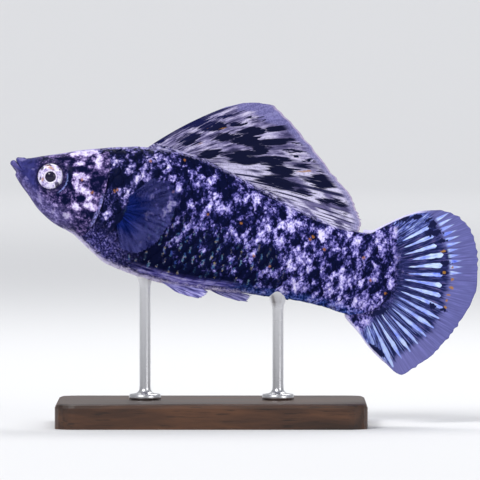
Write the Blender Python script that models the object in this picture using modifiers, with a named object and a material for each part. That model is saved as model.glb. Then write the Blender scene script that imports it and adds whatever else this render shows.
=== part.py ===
"""A male sailfin molly at life size, held nose-up over a plain display stand.

Metres, +Z up, origin at the centre of the base's underside. The head points to -X and the left side
to -Y. Sizes below are millimetres in the fish's own frame: u runs from the snout to the tail, w to
the fish's side and v up to its back. One empty carries that frame, pitched nose-up.
"""

import math

import bmesh
import bpy
from mathutils import Vector

MM = 0.001
GAP = 0.3  # clearance left between two pieces that touch

# The pose
PITCH_DEG = 16.3
SNOUT_X = -39.9
SNOUT_Z = 52.4

# The trunk, as (u, size) stations: the back line, the belly line, the level of greatest width and
# half that width
BACK = ((1.0, 1.2), (3.2, 1.95), (5.6, 3.1), (9.6, 4.9), (12.0, 6.1), (16.0, 7.7), (20.0, 9.2),
        (24.6, 10.5), (34.4, 11.6), (40.0, 10.9), (47.0, 9.4), (60.3, 6.5), (67.0, 5.8), (70.4, 6.2), (76.0, 7.0))
BELLY = ((1.0, -1.5), (2.4, -3.2), (4.8, -5.1), (8.0, -7.6), (12.0, -9.4), (15.0, -10.0), (18.0, -11.4),
         (24.0, -14.1), (32.0, -14.8), (38.0, -14.6), (43.0, -13.8), (54.0, -11.7), (68.0, -10.2),
         (76.0, -10.6))
MIDDLE = ((1.0, -0.3), (8.0, -1.8), (20.0, -2.6), (40.0, -2.8), (60.0, -2.3), (72.0, -1.8), (76.0, -1.8))
HALF_WIDTH = ((1.0, 2.4), (3.0, 3.3), (8.0, 5.0), (14.0, 6.3), (19.0, 6.7), (28.0, 6.8), (38.0, 6.2),
              (48.0, 5.0), (58.0, 3.7), (66.0, 2.7), (72.0, 1.8), (76.0, 1.1))
SIDE_FULLNESS = ((1.0, 0.62), (10.0, 0.72), (24.0, 0.86), (76.0, 0.95))

# Where the trunk is parted: the gill opening, behind the dorsal fin, and the tail's rounded end
SNOUT_U = 1.0
GILL_TOP_U, GILL_SIDE_U, GILL_THROAT_U, GILL_CORE_U = 16.6, 19.6, 14.4, 15.6
GILL_STEP = 0.4  # how far the gill cover's rim stands proud of the shoulder
GILL_STEP_LENGTH = 2.4
STALK_U = 61.6
TAIL_FOCUS_U, TAIL_FOCUS_V = 70.4, -1.8
TAIL_BULGE = 5.4

# The mouth: its slit runs down and back from the front to the corners
MOUTH_FRONT = (0.75, 0.6)
MOUTH_CORNER = (2.75, -0.85)
MOUTH_HALF_WIDTH = 3.15
SLIT_HEIGHT = 0.32
UPPER_LIP_FRONT, UPPER_LIP_RADIUS = (1.1, 1.02), 0.46
LOWER_LIP_FRONT, LOWER_LIP_RADIUS = (0.42, -0.28), 0.62
CHIN_FRONT, CHIN_RADIUS = (1.35, -1.35), 0.7
NOSTRIL_U, NOSTRIL_V, NOSTRIL_RADIUS = 4.7, 0.75, 0.34

EYE_U, EYE_V, EYE_RADIUS = 8.1, -0.35, 2.65
EYE_HALF_DEPTH, EYE_STANDS_OUT, EYE_TURN_DEG = 1.9, 0.6, 10.0

# Fins
RIDGE, MEMBRANE, FIN_EDGE = 0.95, 0.55, 0.34  # thickness on a ray, between rays, and at the tips
ROWS = (0.0, 0.12, 0.3, 0.5, 0.7, 0.87, 1.0)

DORSAL_RAYS = 16
DORSAL_FIRST_U, DORSAL_LAST_U = 24.6, 60.0
DORSAL_OUTLINE = ((38.0, 22.8), (42.6, 25.1), (46.4, 25.7), (50.6, 24.0), (56.2, 20.1), (62.0, 16.1),
                  (66.4, 13.3), (69.3, 10.2), (70.7, 8.3), (70.4, 6.8))
DORSAL_CROWDING = 1.9  # how far the ray tips crowd towards the fin's hind corner
DORSAL_BOW = 0.032

CAUDAL_RAYS = 18
CAUDAL_SPREAD = (-76.0, 80.0)
CAUDAL_REACH = ((-78.0, 8.8), (-57.0, 16.4), (-46.0, 23.6), (-36.0, 23.7), (-24.0, 24.1), (-5.0, 25.0),
                (8.0, 26.1), (24.0, 26.0), (38.0, 25.5), (46.0, 23.6), (55.0, 19.0), (61.0, 15.2), (66.0, 12.3),
                (74.0, 9.5), (82.0, 9.0))
CAUDAL_HALF_ROOT_UP, CAUDAL_HALF_ROOT_DOWN = 8.1, 8.4

PECTORAL_RAYS = 13
PECTORAL_ROOT = (22.2, -2.9)
PECTORAL_SPREAD = (-62.0, 54.0)
PECTORAL_REACH = ((-62.0, 8.0), (-40.0, 10.6), (-16.0, 11.6), (8.0, 12.6), (28.0, 13.8), (42.0, 12.2), (54.0, 9.6))
PECTORAL_SPLAY_DEG, PECTORAL_SUNK = 21.0, 0.9

PELVIC_RAYS = 6
PELVIC_ROOT = (35.0, -14.2)
PELVIC_SPREAD = (-22.0, 6.0)
PELVIC_REACH = ((-22.0, 3.8), (-18.0, 5.2), (-12.0, 7.6), (-7.0, 9.2), (-1.0, 9.7), (6.0, 8.6))
PELVIC_SIDE, PELVIC_SPLAY_DEG, PELVIC_LEAN_DEG = 1.7, 3.0, 30.0

GONOPODIUM_RAYS = 5
GONOPODIUM_ROOT = (41.0, -12.6)
GONOPODIUM_SPREAD = (-11.0, 1.5)
GONOPODIUM_REACH = ((-11.0, 5.8), (-9.0, 8.2), (-7.0, 10.4), (-4.0, 11.9), (-0.5, 12.4), (1.5, 12.2))

# The stand
BASE_LENGTH, BASE_DEPTH, BASE_HEIGHT, BASE_BEVEL = 62.0, 40.0, 5.0, 0.8
ROD_X = 13.3
ROD_RADIUS, SADDLE_RADIUS, FOOT_RADIUS, FOOT_HEIGHT = 1.1, 2.1, 3.2, 1.0
FRONT_ROD_TOP_Z, REAR_ROD_TOP_Z = 32.5, 28.0
SADDLE_HEIGHT = 2.6

TURNS = 40  # points round the trunk

COLOURS = {
    "skin": ((0.13, 0.12, 0.30, 1.0), 0.38),
    "fin": ((0.44, 0.42, 0.66, 1.0), 0.45),
    "eye": ((0.78, 0.76, 0.86, 1.0), 0.12),
    "base": ((0.05, 0.045, 0.045, 1.0), 0.4),
    "rod": ((0.62, 0.62, 0.64, 1.0), 0.3),
}


def curve_through(stations):
    """A smooth function through (place, value) stations that doesn't overshoot between them."""
    places = [s[0] for s in stations]
    values = [s[1] for s in stations]
    steps = [(values[i + 1] - values[i]) / (places[i + 1] - places[i]) for i in range(len(places) - 1)]
    slopes = [steps[0]]
    for before, after in zip(steps, steps[1:]):
        slopes.append(0.0 if before * after <= 0 else 2 * before * after / (before + after))
    slopes.append(steps[-1])

    def value(at):
        at = min(max(at, places[0]), places[-1])
        i = max(k for k in range(len(places) - 1) if places[k] <= at)
        span = places[i + 1] - places[i]
        t = (at - places[i]) / span
        return (values[i] * (1 + 2 * t) * (1 - t) ** 2 + slopes[i] * span * t * (1 - t) ** 2
                + values[i + 1] * t * t * (3 - 2 * t) + slopes[i + 1] * span * t * t * (t - 1))

    return value


back = curve_through(BACK)
belly = curve_through(BELLY)
middle = curve_through(MIDDLE)
half_width = curve_through(HALF_WIDTH)
side_fullness = curve_through(SIDE_FULLNESS)


def line_through(points):
    """A smooth plane curve through points, as a function of 0 to 1."""
    last = len(points) - 1
    along_u = curve_through([(i / last, p[0]) for i, p in enumerate(points)])
    along_v = curve_through([(i / last, p[1]) for i, p in enumerate(points)])
    return lambda t: (along_u(t), along_v(t))


def skin_point(u, turn, grow=0.0, pinch=0.0):
    """A point of the trunk's surface. turn is 0 on the right side and a quarter turn on the back."""
    up, side = math.sin(turn), math.cos(turn)
    level = middle(u)
    reach = (back(u) - level) if up > 0 else (level - belly(u))
    width = half_width(u) - pinch + grow
    w = width * math.copysign(abs(side) ** side_fullness(u), side)
    return Vector((u, w, level + (reach + grow) * up))


def side_of_trunk(u, v):
    """How far out the trunk's side is at this place."""
    level = middle(u)
    reach = (back(u) - level) if v > level else (level - belly(u))
    up = min(1.0, abs(v - level) / reach)
    return half_width(u) * math.sqrt(1 - up * up) ** side_fullness(u)


def gill_line(turn):
    """Where the head is parted from the body, a rounded gill cover on each side."""
    end = GILL_TOP_U if math.sin(turn) > 0 else GILL_THROAT_U
    return end + (GILL_SIDE_U - end) * abs(math.cos(turn)) ** 0.8


def tail_line(turn):
    """The rounded end of the tail's flesh."""
    return TAIL_FOCUS_U + TAIL_BULGE * abs(math.cos(turn))


def turns():
    return [2 * math.pi * i / TURNS for i in range(TURNS)]


def loft(name, rings, start=None, end=None):
    """A closed skin over rings of points. It closes on a start or end point, or across an end ring."""
    bm = bmesh.new()
    loops = [[bm.verts.new(p * MM) for p in ring] for ring in rings]
    for near, far in zip(loops, loops[1:]):
        for i in range(TURNS):
            j = (i + 1) % TURNS
            bm.faces.new((near[i], near[j], far[j], far[i]))
    for loop, point in ((loops[0], start), (loops[-1], end)):
        if point is None:
            mirrored = [loop[(TURNS // 2 - i) % TURNS] for i in range(TURNS)]
            for i in range(-TURNS // 4, TURNS // 4):
                corners = (loop[i], loop[i + 1], mirrored[i + 1], mirrored[i])
                bm.faces.new(dict.fromkeys(corners))
        else:
            pole = bm.verts.new(point * MM)
            for i in range(TURNS):
                bm.faces.new((loop[i], loop[(i + 1) % TURNS], pole))
    bmesh.ops.triangulate(bm, faces=bm.faces)
    bmesh.ops.recalc_face_normals(bm, faces=bm.faces)
    mesh = bpy.data.meshes.new(name)
    bm.to_mesh(mesh)
    bm.free()
    mesh.shade_smooth()
    return bpy.data.objects.new(name, mesh)


def in_ring(ring, share, core):
    """A ring drawn in towards a core point, for a cut's end face."""
    return [core.lerp(p, share) for p in ring]


def material(kind):
    found = bpy.data.materials.get(kind)
    if found:
        return found
    colour, roughness = COLOURS[kind]
    made = bpy.data.materials.new(kind)
    made.use_nodes = True
    shader = made.node_tree.nodes["Principled BSDF"]
    shader.inputs["Base Color"].default_value = colour
    shader.inputs["Roughness"].default_value = roughness
    shader.inputs["Metallic"].default_value = 1.0 if kind == "rod" else 0.0
    return made


def place(obj, kind, collection, parent):
    """Files an object, gives it its finish and hangs it on the fish's frame or on the stand."""
    collection.objects.link(obj)
    obj.parent = parent
    obj.data.materials.clear()
    obj.data.materials.append(material(kind))
    return obj


def as_cutter(obj, collection, parent):
    collection.objects.link(obj)
    obj.parent = parent
    obj.hide_render = True
    obj.display_type = "WIRE"
    return obj


def keep_largest(mesh):
    """Leaves only the largest closed surface of a mesh."""
    bm = bmesh.new()
    bm.from_mesh(mesh)
    left = set(bm.verts)
    islands = []
    while left:
        island, edge = set(), [left.pop()]
        while edge:
            vert = edge.pop()
            island.add(vert)
            near = {e.other_vert(vert) for e in vert.link_edges} & left
            left -= near
            edge.extend(near)
        islands.append(island)
    largest = max(islands, key=len)
    bmesh.ops.delete(bm, geom=[v for v in bm.verts if v not in largest], context="VERTS")
    bm.to_mesh(mesh)
    bm.free()


def settle(obj):
    """Applies an object's modifiers and keeps the largest closed surface."""
    bpy.context.view_layer.update()
    graph = bpy.context.evaluated_depsgraph_get()
    mesh = bpy.data.meshes.new_from_object(obj.evaluated_get(graph))
    obj.modifiers.clear()
    obj.data = mesh
    keep_largest(mesh)
    mesh.shade_smooth()


def fuse(obj, pieces):
    """Joins closed pieces to an object and removes them."""
    group = bpy.data.collections.new(obj.name + "_pieces")
    bpy.context.scene.collection.children.link(group)
    for piece in pieces:
        group.objects.link(piece)
        piece.parent = obj.parent
    join = obj.modifiers.new("Join", "BOOLEAN")
    join.operand_type = "COLLECTION"
    join.collection = group
    join.operation = "UNION"
    settle(obj)
    for piece in pieces:
        bpy.data.objects.remove(piece)
    bpy.data.collections.remove(group)


def cut(obj, *cutters):
    for cutter in cutters:
        taken = obj.modifiers.new("Cut", "BOOLEAN")
        taken.operation = "DIFFERENCE"
        taken.object = cutter
    settle(obj)


def bead(name, path, radius, taper=0.75):
    """A closed round roll along a path of points, thinner towards both ends."""
    curve = bpy.data.curves.new(name, "CURVE")
    curve.dimensions = "3D"
    curve.bevel_depth = radius * MM
    curve.bevel_resolution = 2
    curve.use_fill_caps = True
    spline = curve.splines.new("POLY")
    spline.points.add(len(path) - 1)
    for i, (point, at) in enumerate(zip(spline.points, path)):
        point.co = (*(Vector(at) * MM), 1.0)
        point.radius = 1 - (1 - taper) * abs(2 * i / (len(path) - 1) - 1) ** 2
    holder = bpy.data.objects.new(name, curve)
    bpy.context.scene.collection.objects.link(holder)
    bpy.context.view_layer.update()
    graph = bpy.context.evaluated_depsgraph_get()
    mesh = bpy.data.meshes.new_from_object(holder.evaluated_get(graph))
    bpy.data.objects.remove(holder)
    bm = bmesh.new()
    bm.from_mesh(mesh)
    bmesh.ops.remove_doubles(bm, verts=bm.verts, dist=0.001 * MM)
    bmesh.ops.recalc_face_normals(bm, faces=bm.faces)
    bm.to_mesh(mesh)
    bm.free()
    return bpy.data.objects.new(name, mesh)


def lip_path(front, corner, half_width_at_corner, points=13):
    """A horseshoe from one corner of the mouth round the front to the other."""
    path = []
    for i in range(points):
        across = -1 + 2 * i / (points - 1)
        turn = across * math.pi / 2
        ahead = math.cos(turn)
        path.append((corner[0] + (front[0] - corner[0]) * ahead,
                     half_width_at_corner * math.sin(turn),
                     corner[1] + (front[1] - corner[1]) * ahead))
    return path


def ellipsoid(name, centre, half_sizes, turn_deg=0.0, around=24, rings=14):
    bm = bmesh.new()
    bmesh.ops.create_uvsphere(bm, u_segments=around, v_segments=rings, radius=1.0)
    bmesh.ops.scale(bm, vec=Vector(half_sizes) * MM, verts=bm.verts)
    mesh = bpy.data.meshes.new(name)
    bm.to_mesh(mesh)
    bm.free()
    mesh.shade_smooth()
    obj = bpy.data.objects.new(name, mesh)
    obj.location = Vector(centre) * MM
    obj.rotation_euler = (0, 0, math.radians(turn_deg))
    return obj


def trunk_rings(first_line, last_line, steps, pinched=False):
    """Rings of the trunk from one parting line to another."""
    rings = []
    for k in range(steps + 1):
        share = k / steps
        ring = []
        for turn in turns():
            u = first_line(turn) * (1 - share) + last_line(turn) * share
            pinch = GILL_STEP * math.exp(-((u - first_line(turn)) / GILL_STEP_LENGTH) ** 2) if pinched else 0
            ring.append(skin_point(u, turn, pinch=pinch * abs(math.cos(turn))))
        rings.append(ring)
    return rings


def make_head(collection, cutters, fish):
    rings = trunk_rings(lambda turn: SNOUT_U, lambda turn: gill_line(turn) - GAP / 2, 20)
    core = Vector((GILL_CORE_U - GAP / 2, 0, middle(GILL_CORE_U)))
    rings.append(in_ring(rings[-1], 0.5, core))
    head = place(loft("head", rings, start=Vector((SNOUT_U - 0.2, 0, middle(SNOUT_U))), end=core),
                 "skin", collection, fish)
    lips = [
        bead("upper_lip", lip_path(UPPER_LIP_FRONT, MOUTH_CORNER, MOUTH_HALF_WIDTH), UPPER_LIP_RADIUS),
        bead("lower_lip", lip_path(LOWER_LIP_FRONT, (MOUTH_CORNER[0], MOUTH_CORNER[1] - 0.3), MOUTH_HALF_WIDTH),
             LOWER_LIP_RADIUS, taper=0.6),
        bead("chin", lip_path(CHIN_FRONT, (4.2, -2.6), 2.6), CHIN_RADIUS, taper=0.6),
    ]
    fuse(head, lips)
    front, corner = Vector((MOUTH_FRONT[0], 0, MOUTH_FRONT[1])), Vector((MOUTH_CORNER[0], 0, MOUTH_CORNER[1]))
    lean = math.atan2(front.z - corner.z, corner.x - front.x)
    bm = bmesh.new()
    bmesh.ops.create_cube(bm, size=1.0)
    bmesh.ops.scale(bm, vec=Vector((5.0, 9.0, SLIT_HEIGHT)) * MM, verts=bm.verts)
    bmesh.ops.translate(bm, vec=Vector((-2.5 * MM, 0, 0)), verts=bm.verts)
    mesh = bpy.data.meshes.new("mouth_slit")
    bm.to_mesh(mesh)
    bm.free()
    slit = as_cutter(bpy.data.objects.new("mouth_slit", mesh), cutters, fish)
    slit.location = corner * MM
    slit.rotation_euler = (0, lean, 0)
    holes = [slit]
    for side, name in ((-1, "left"), (1, "right")):
        holes.append(as_cutter(eye_ball("socket_" + name, side, GAP), cutters, fish))
        nostril = Vector((NOSTRIL_U, side * side_of_trunk(NOSTRIL_U, NOSTRIL_V), NOSTRIL_V))
        holes.append(as_cutter(ellipsoid("nostril_" + name, nostril, (NOSTRIL_RADIUS,) * 3, around=12, rings=8),
                               cutters, fish))
    cut(head, *holes)
    return head


def eye_ball(name, side, grow=0.0):
    out = side_of_trunk(EYE_U, EYE_V) + EYE_STANDS_OUT - EYE_HALF_DEPTH
    return ellipsoid(name, (EYE_U, side * out, EYE_V),
                     (EYE_RADIUS + grow, EYE_HALF_DEPTH + grow, EYE_RADIUS + grow), side * EYE_TURN_DEG)


def make_torso(collection, fish):
    rings = trunk_rings(lambda turn: gill_line(turn) + GAP / 2, lambda turn: STALK_U - GAP / 2, 26, pinched=True)
    front_core = Vector((GILL_CORE_U + GAP / 2, 0, middle(GILL_CORE_U)))
    back_core = Vector((STALK_U - GAP / 2, 0, middle(STALK_U)))
    rings.insert(0, in_ring(rings[0], 0.5, front_core))
    return place(loft("torso", rings, start=front_core, end=back_core), "skin", collection, fish)


def make_tail_stalk(collection, fish):
    rings = trunk_rings(lambda turn: STALK_U + GAP / 2, tail_line, 11)
    core = Vector((STALK_U + GAP / 2, 0, middle(STALK_U)))
    return place(loft("tail_stalk", rings, start=core), "skin", collection, fish)


def make_clearance(cutters, fish):
    """The whole trunk grown by the gap, which trims whatever grows from it."""
    rings = []
    steps = 44
    for k in range(steps + 1):
        share = k / steps
        rings.append([
            skin_point(SNOUT_U * (1 - share) + (tail_line(turn) + GAP) * share, turn, grow=GAP) for turn in turns()
        ])
    shape = loft("trunk_clearance", rings, start=Vector((SNOUT_U - 0.5, 0, middle(SNOUT_U))))
    return as_cutter(shape, cutters, fish)


def fin_blade(name, rays, at, collection, parent, rows=ROWS, root_ridge=RIDGE):
    """A fin as a sheet of rays and webs. at(across, along) is its middle surface, each from 0 to 1."""
    columns = 4 * (rays - 1)
    bm = bmesh.new()
    bmesh.ops.create_grid(bm, x_segments=columns, y_segments=len(rows) - 1, size=0.5)
    weights = []
    for vert in bm.verts:
        column = round((vert.co.x + 0.5) * columns)
        row = round((vert.co.y + 0.5) * (len(rows) - 1))
        along = rows[row]
        on_ray = column % 4 == 0
        ridge = root_ridge + (FIN_EDGE - root_ridge) * along ** 1.5
        web = MEMBRANE if row < len(rows) - 1 else FIN_EDGE
        weights.append(max(ridge, web) if on_ray else web)
        vert.co = Vector(at(column / columns, along)) * MM
    bmesh.ops.triangulate(bm, faces=bm.faces, quad_method="FIXED")
    bmesh.ops.recalc_face_normals(bm, faces=bm.faces)
    mesh = bpy.data.meshes.new(name)
    bm.to_mesh(mesh)
    bm.free()
    blade = place(bpy.data.objects.new(name, mesh), "fin", collection, parent)
    group = blade.vertex_groups.new(name="thickness")
    thickest = max(weights)
    for index, thickness in enumerate(weights):
        group.add([index], thickness / thickest, "REPLACE")
    solid = blade.modifiers.new("Thickness", "SOLIDIFY")
    solid.thickness = thickest * MM
    solid.offset = 0.0
    solid.vertex_group = "thickness"
    solid.thickness_vertex_group = 0.0
    return blade


def make_dorsal_fin(collection, fish):
    outline = line_through(DORSAL_OUTLINE)

    def at(across, along):
        root_u = DORSAL_FIRST_U + (DORSAL_LAST_U - DORSAL_FIRST_U) * across
        root = Vector((root_u, 0, back(root_u) + GAP))
        tip_u, tip_v = outline(1 - (1 - across) ** DORSAL_CROWDING)
        tip = Vector((tip_u, 0, tip_v))
        ray = tip - root
        bow = Vector((-ray.z, 0, ray.x)) * DORSAL_BOW * (1 - across) * 4 * along * (1 - along)
        point = root + ray * along + bow
        lowest = back(point.x) + GAP * (1 + min(1.0, 4 * along))
        point.z = max(point.z, lowest)
        return point

    return fin_blade("dorsal_fin", DORSAL_RAYS, at, collection, fish)


def make_caudal_fin(collection, fish):
    reach = curve_through(CAUDAL_REACH)

    def at(across, along):
        angle = CAUDAL_SPREAD[0] + (CAUDAL_SPREAD[1] - CAUDAL_SPREAD[0]) * across
        ahead, up = math.cos(math.radians(angle)), math.sin(math.radians(angle))
        half_root = CAUDAL_HALF_ROOT_UP if up > 0 else CAUDAL_HALF_ROOT_DOWN
        root = 1 / math.hypot(ahead / (TAIL_BULGE + GAP), up / (half_root + GAP))
        distance = root + (reach(angle) - root) * along
        return TAIL_FOCUS_U + distance * ahead, 0, TAIL_FOCUS_V + distance * up

    return fin_blade("caudal_fin", CAUDAL_RAYS, at, collection, fish)


def fan(root, spread, reaches, first=0.6):
    """A flat fan of rays in a fin's own plane: ahead is +X and up is +Z, from its root."""
    reach = curve_through(reaches)

    def at(across, along):
        angle = spread[0] + (spread[1] - spread[0]) * across
        distance = first + (reach(angle) - first) * along
        return (distance * math.cos(math.radians(angle)), 0, distance * math.sin(math.radians(angle)))

    return at


def make_paired_fin(name, side, rays, root, out, spread, reaches, turn_deg, collection, fish, clearance):
    """A fan rooted in the trunk's side or belly, turned, and trimmed clear of the trunk."""
    blade = fin_blade(name, rays, fan(root, spread, reaches), collection, fish)
    blade.location = Vector((root[0], side * out, root[1])) * MM
    blade.rotation_euler = [math.radians(side * angle) for angle in turn_deg]
    cut(blade, clearance)
    return blade


def make_gonopodium(collection, fish, clearance):
    at = fan(GONOPODIUM_ROOT, GONOPODIUM_SPREAD, GONOPODIUM_REACH)
    blade = fin_blade("gonopodium", GONOPODIUM_RAYS, at, collection, fish)
    blade.location = Vector((GONOPODIUM_ROOT[0], 0, GONOPODIUM_ROOT[1])) * MM
    cut(blade, clearance)
    return blade


def make_rod(name, x, top_z, collection, clearance):
    """A turned rod with a round foot and a saddle that is hollowed to the belly."""
    foot = BASE_HEIGHT + GAP
    profile = (
        (0, top_z), (SADDLE_RADIUS, top_z), (SADDLE_RADIUS, top_z - SADDLE_HEIGHT),
        (ROD_RADIUS, top_z - 2 * SADDLE_HEIGHT), (ROD_RADIUS, foot + FOOT_HEIGHT + 0.6),
        (ROD_RADIUS + 0.4, foot + FOOT_HEIGHT), (FOOT_RADIUS - 0.3, foot + FOOT_HEIGHT),
        (FOOT_RADIUS, foot + FOOT_HEIGHT - 0.3), (FOOT_RADIUS, foot), (0, foot),
    )
    mesh = bpy.data.meshes.new(name)
    mesh.from_pydata([(r * MM, 0, z * MM) for r, z in profile], [(i, i + 1) for i in range(len(profile) - 1)], [])
    rod = place(bpy.data.objects.new(name, mesh), "rod", collection, None)
    rod.location = (x * MM, 0, 0)
    turned = rod.modifiers.new("Turned", "SCREW")
    turned.steps = turned.render_steps = 24
    turned.use_merge_vertices = True
    turned.merge_threshold = 0.00001
    cut(rod, clearance)
    return rod


def make_base(collection):
    bm = bmesh.new()
    bmesh.ops.create_cube(bm, size=1.0)
    bmesh.ops.scale(bm, vec=Vector((BASE_LENGTH, BASE_DEPTH, BASE_HEIGHT)) * MM, verts=bm.verts)
    bmesh.ops.translate(bm, vec=Vector((0, 0, BASE_HEIGHT / 2 * MM)), verts=bm.verts)
    upright = [e for e in bm.edges if abs(e.verts[0].co.z - e.verts[1].co.z) > MM]
    bmesh.ops.bevel(bm, geom=upright, offset=4 * MM, segments=5, affect="EDGES", profile=0.5)
    rim = [e for e in bm.edges if all(v.co.z > (BASE_HEIGHT - 0.01) * MM for v in e.verts)]
    bmesh.ops.bevel(bm, geom=rim, offset=BASE_BEVEL * MM, segments=2, affect="EDGES", profile=0.5)
    mesh = bpy.data.meshes.new("stand_base")
    bm.to_mesh(mesh)
    bm.free()
    return place(bpy.data.objects.new("stand_base", mesh), "base", collection, None)


def main():
    for obj in list(bpy.data.objects):
        bpy.data.objects.remove(obj)
    collection = bpy.data.collections.new("sailfin_molly")
    cutters = bpy.data.collections.new("cutters")
    for made in (collection, cutters):
        bpy.context.scene.collection.children.link(made)

    fish = bpy.data.objects.new("fish_frame", None)
    collection.objects.link(fish)
    fish.location = Vector((SNOUT_X, 0, SNOUT_Z)) * MM
    fish.rotation_euler = (0, math.radians(PITCH_DEG), 0)

    clearance = make_clearance(cutters, fish)
    make_head(collection, cutters, fish)
    make_torso(collection, fish)
    make_tail_stalk(collection, fish)
    make_dorsal_fin(collection, fish)
    make_caudal_fin(collection, fish)
    make_gonopodium(collection, fish, clearance)
    for side, name in ((-1, "left"), (1, "right")):
        place(eye_ball("eye_" + name, side), "eye", collection, fish)
        out = side_of_trunk(*PECTORAL_ROOT) - PECTORAL_SUNK
        make_paired_fin("pectoral_fin_" + name, side, PECTORAL_RAYS, PECTORAL_ROOT, out, PECTORAL_SPREAD,
                        PECTORAL_REACH, (0, 0, PECTORAL_SPLAY_DEG), collection, fish, clearance)
        make_paired_fin("pelvic_fin_" + name, side, PELVIC_RAYS, PELVIC_ROOT, PELVIC_SIDE, PELVIC_SPREAD,
                        PELVIC_REACH, (PELVIC_LEAN_DEG, 0, PELVIC_SPLAY_DEG), collection, fish, clearance)

    make_base(collection)
    make_rod("stand_rod_front", -ROD_X, FRONT_ROD_TOP_Z, collection, clearance)
    make_rod("stand_rod_rear", ROD_X, REAR_ROD_TOP_Z, collection, clearance)


main()
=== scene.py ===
import math
import random

import bmesh
import bpy
import numpy as np
from mathutils import Matrix, Vector


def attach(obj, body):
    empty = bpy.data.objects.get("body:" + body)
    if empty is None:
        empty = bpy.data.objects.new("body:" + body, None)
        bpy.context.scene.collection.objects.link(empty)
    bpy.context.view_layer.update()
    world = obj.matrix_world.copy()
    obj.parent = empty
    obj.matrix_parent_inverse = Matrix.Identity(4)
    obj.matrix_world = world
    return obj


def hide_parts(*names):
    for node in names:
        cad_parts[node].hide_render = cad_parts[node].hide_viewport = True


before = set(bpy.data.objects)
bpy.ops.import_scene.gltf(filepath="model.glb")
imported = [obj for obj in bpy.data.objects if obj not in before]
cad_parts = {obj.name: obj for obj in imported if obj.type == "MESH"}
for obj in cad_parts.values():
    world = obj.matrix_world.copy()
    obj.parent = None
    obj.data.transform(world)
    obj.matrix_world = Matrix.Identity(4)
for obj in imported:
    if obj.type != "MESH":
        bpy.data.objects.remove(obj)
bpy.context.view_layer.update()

# The fish is worked in its own frame, in millimetres: u from the snout to the tail, w out to its side
# and v up to its back. FISH turns that frame nose-up and sets it over the stand.
PITCH = math.radians(16.3)
SNOUT = (-0.0399, 0.0, 0.0524)
MM = 0.001
FISH = np.array(Matrix.Translation(SNOUT) @ Matrix.Rotation(PITCH, 4, "Y") @ Matrix.Scale(MM, 4))

# The trunk's lines: (u, value) stations, as in the solids, run on over the root of the tail fin
BACK = (
    (1, 1.2), (3.2, 1.95), (5.6, 3.1), (9.6, 4.9), (12, 6.1), (16, 7.7), (20, 9.2), (24.6, 10.5),
    (34.4, 11.6), (40, 10.9), (47, 9.4), (60.3, 6.5), (67, 5.8), (70.4, 6.2), (76, 7), (82, 7.6))
BELLY = (
    (1, -1.5), (2.4, -3.2), (4.8, -5.1), (8, -7.6), (12, -9.4), (15, -10), (18, -11.4), (24, -14.1),
    (32, -14.8), (38, -14.6), (43, -13.8), (54, -11.7), (68, -10.2), (76, -10.6), (82, -11))
MIDDLE = ((1, -0.3), (8, -1.8), (20, -2.6), (40, -2.8), (60, -2.3), (72, -1.8), (82, -1.8))
HALF_WIDTH = (
    (1, 2.4), (3, 3.3), (8, 5), (14, 6.3), (19, 6.7), (28, 6.8), (38, 6.2), (48, 5), (58, 3.7), (66, 2.7),
    (72, 1.8), (76, 1), (80, 0.45), (82, 0.35))
FULLNESS = ((1, 0.62), (10, 0.72), (24, 0.86), (76, 0.95), (82, 0.95))

GILL_TOP, GILL_SIDE, GILL_THROAT = 16.6, 19.6, 14.4
GILL_STEP, GILL_STEP_LENGTH = 0.45, 2.4
TAIL_FOCUS = (70.4, -1.8)
TAIL_FLESH = 9.6
COAT_DEPTH = 0.14

MOUTH_FRONT, MOUTH_CORNER, MOUTH_SIDE = (0.75, 0.6), (2.75, -0.85), 3.1
UPPER_LIP, LOWER_LIP = 0.48, 0.66
EYE_U, EYE_V, EYE_STANDS_OUT, EYE_TURN = 8.25, -0.35, 0.55, math.radians(6)
PUPIL_RADIUS, EYE_RING_RADIUS, IRIS_RADIUS = 1.07, 1.22, 2.57


def stations(table):
    """A smooth function through (place, value) stations that doesn't overshoot, for numbers or arrays."""
    x = np.array([s[0] for s in table], float)
    y = np.array([s[1] for s in table], float)
    step = np.diff(y) / np.diff(x)
    product = step[:-1] * step[1:]
    total = step[:-1] + step[1:]
    inner = np.where(product > 0, 2 * product / np.where(total == 0, 1, total), 0)
    slope = np.concatenate(([step[0]], inner, [step[-1]]))

    def value(at):
        at = np.clip(at, x[0], x[-1])
        i = np.clip(np.searchsorted(x, at, side="right") - 1, 0, len(x) - 2)
        span = x[i + 1] - x[i]
        t = (at - x[i]) / span
        return (y[i] * (1 + 2 * t) * (1 - t) ** 2 + slope[i] * span * t * (1 - t) ** 2
                + y[i + 1] * t * t * (3 - 2 * t) + slope[i + 1] * span * t * t * (t - 1))

    return value


back, belly, middle = stations(BACK), stations(BELLY), stations(MIDDLE)
half_width, fullness = stations(HALF_WIDTH), stations(FULLNESS)


def line_through(points):
    """A smooth line through (u, v) points, for places from 0 to 1."""
    places = np.linspace(0, 1, len(points))
    u = stations([(t, p[0]) for t, p in zip(places, points)])
    v = stations([(t, p[1]) for t, p in zip(places, points)])
    return lambda t: (u(t), v(t))


def smooth(value, low, high):
    """0 below low and 1 above high, or the other way round where high is the smaller."""
    t = np.clip((value - low) / (high - low), 0, 1)
    return t * t * (3 - 2 * t)


def gill_line(turn):
    """The u of the gill cover's edge."""
    end = np.where(np.sin(turn) > 0, GILL_TOP, GILL_THROAT)
    return end + (GILL_SIDE - end) * np.abs(np.cos(turn)) ** 0.8


def tail_line(turn):
    """The u where the flesh of the tail ends on its fin."""
    return TAIL_FOCUS[0] + TAIL_FLESH * np.abs(np.cos(turn))


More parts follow.
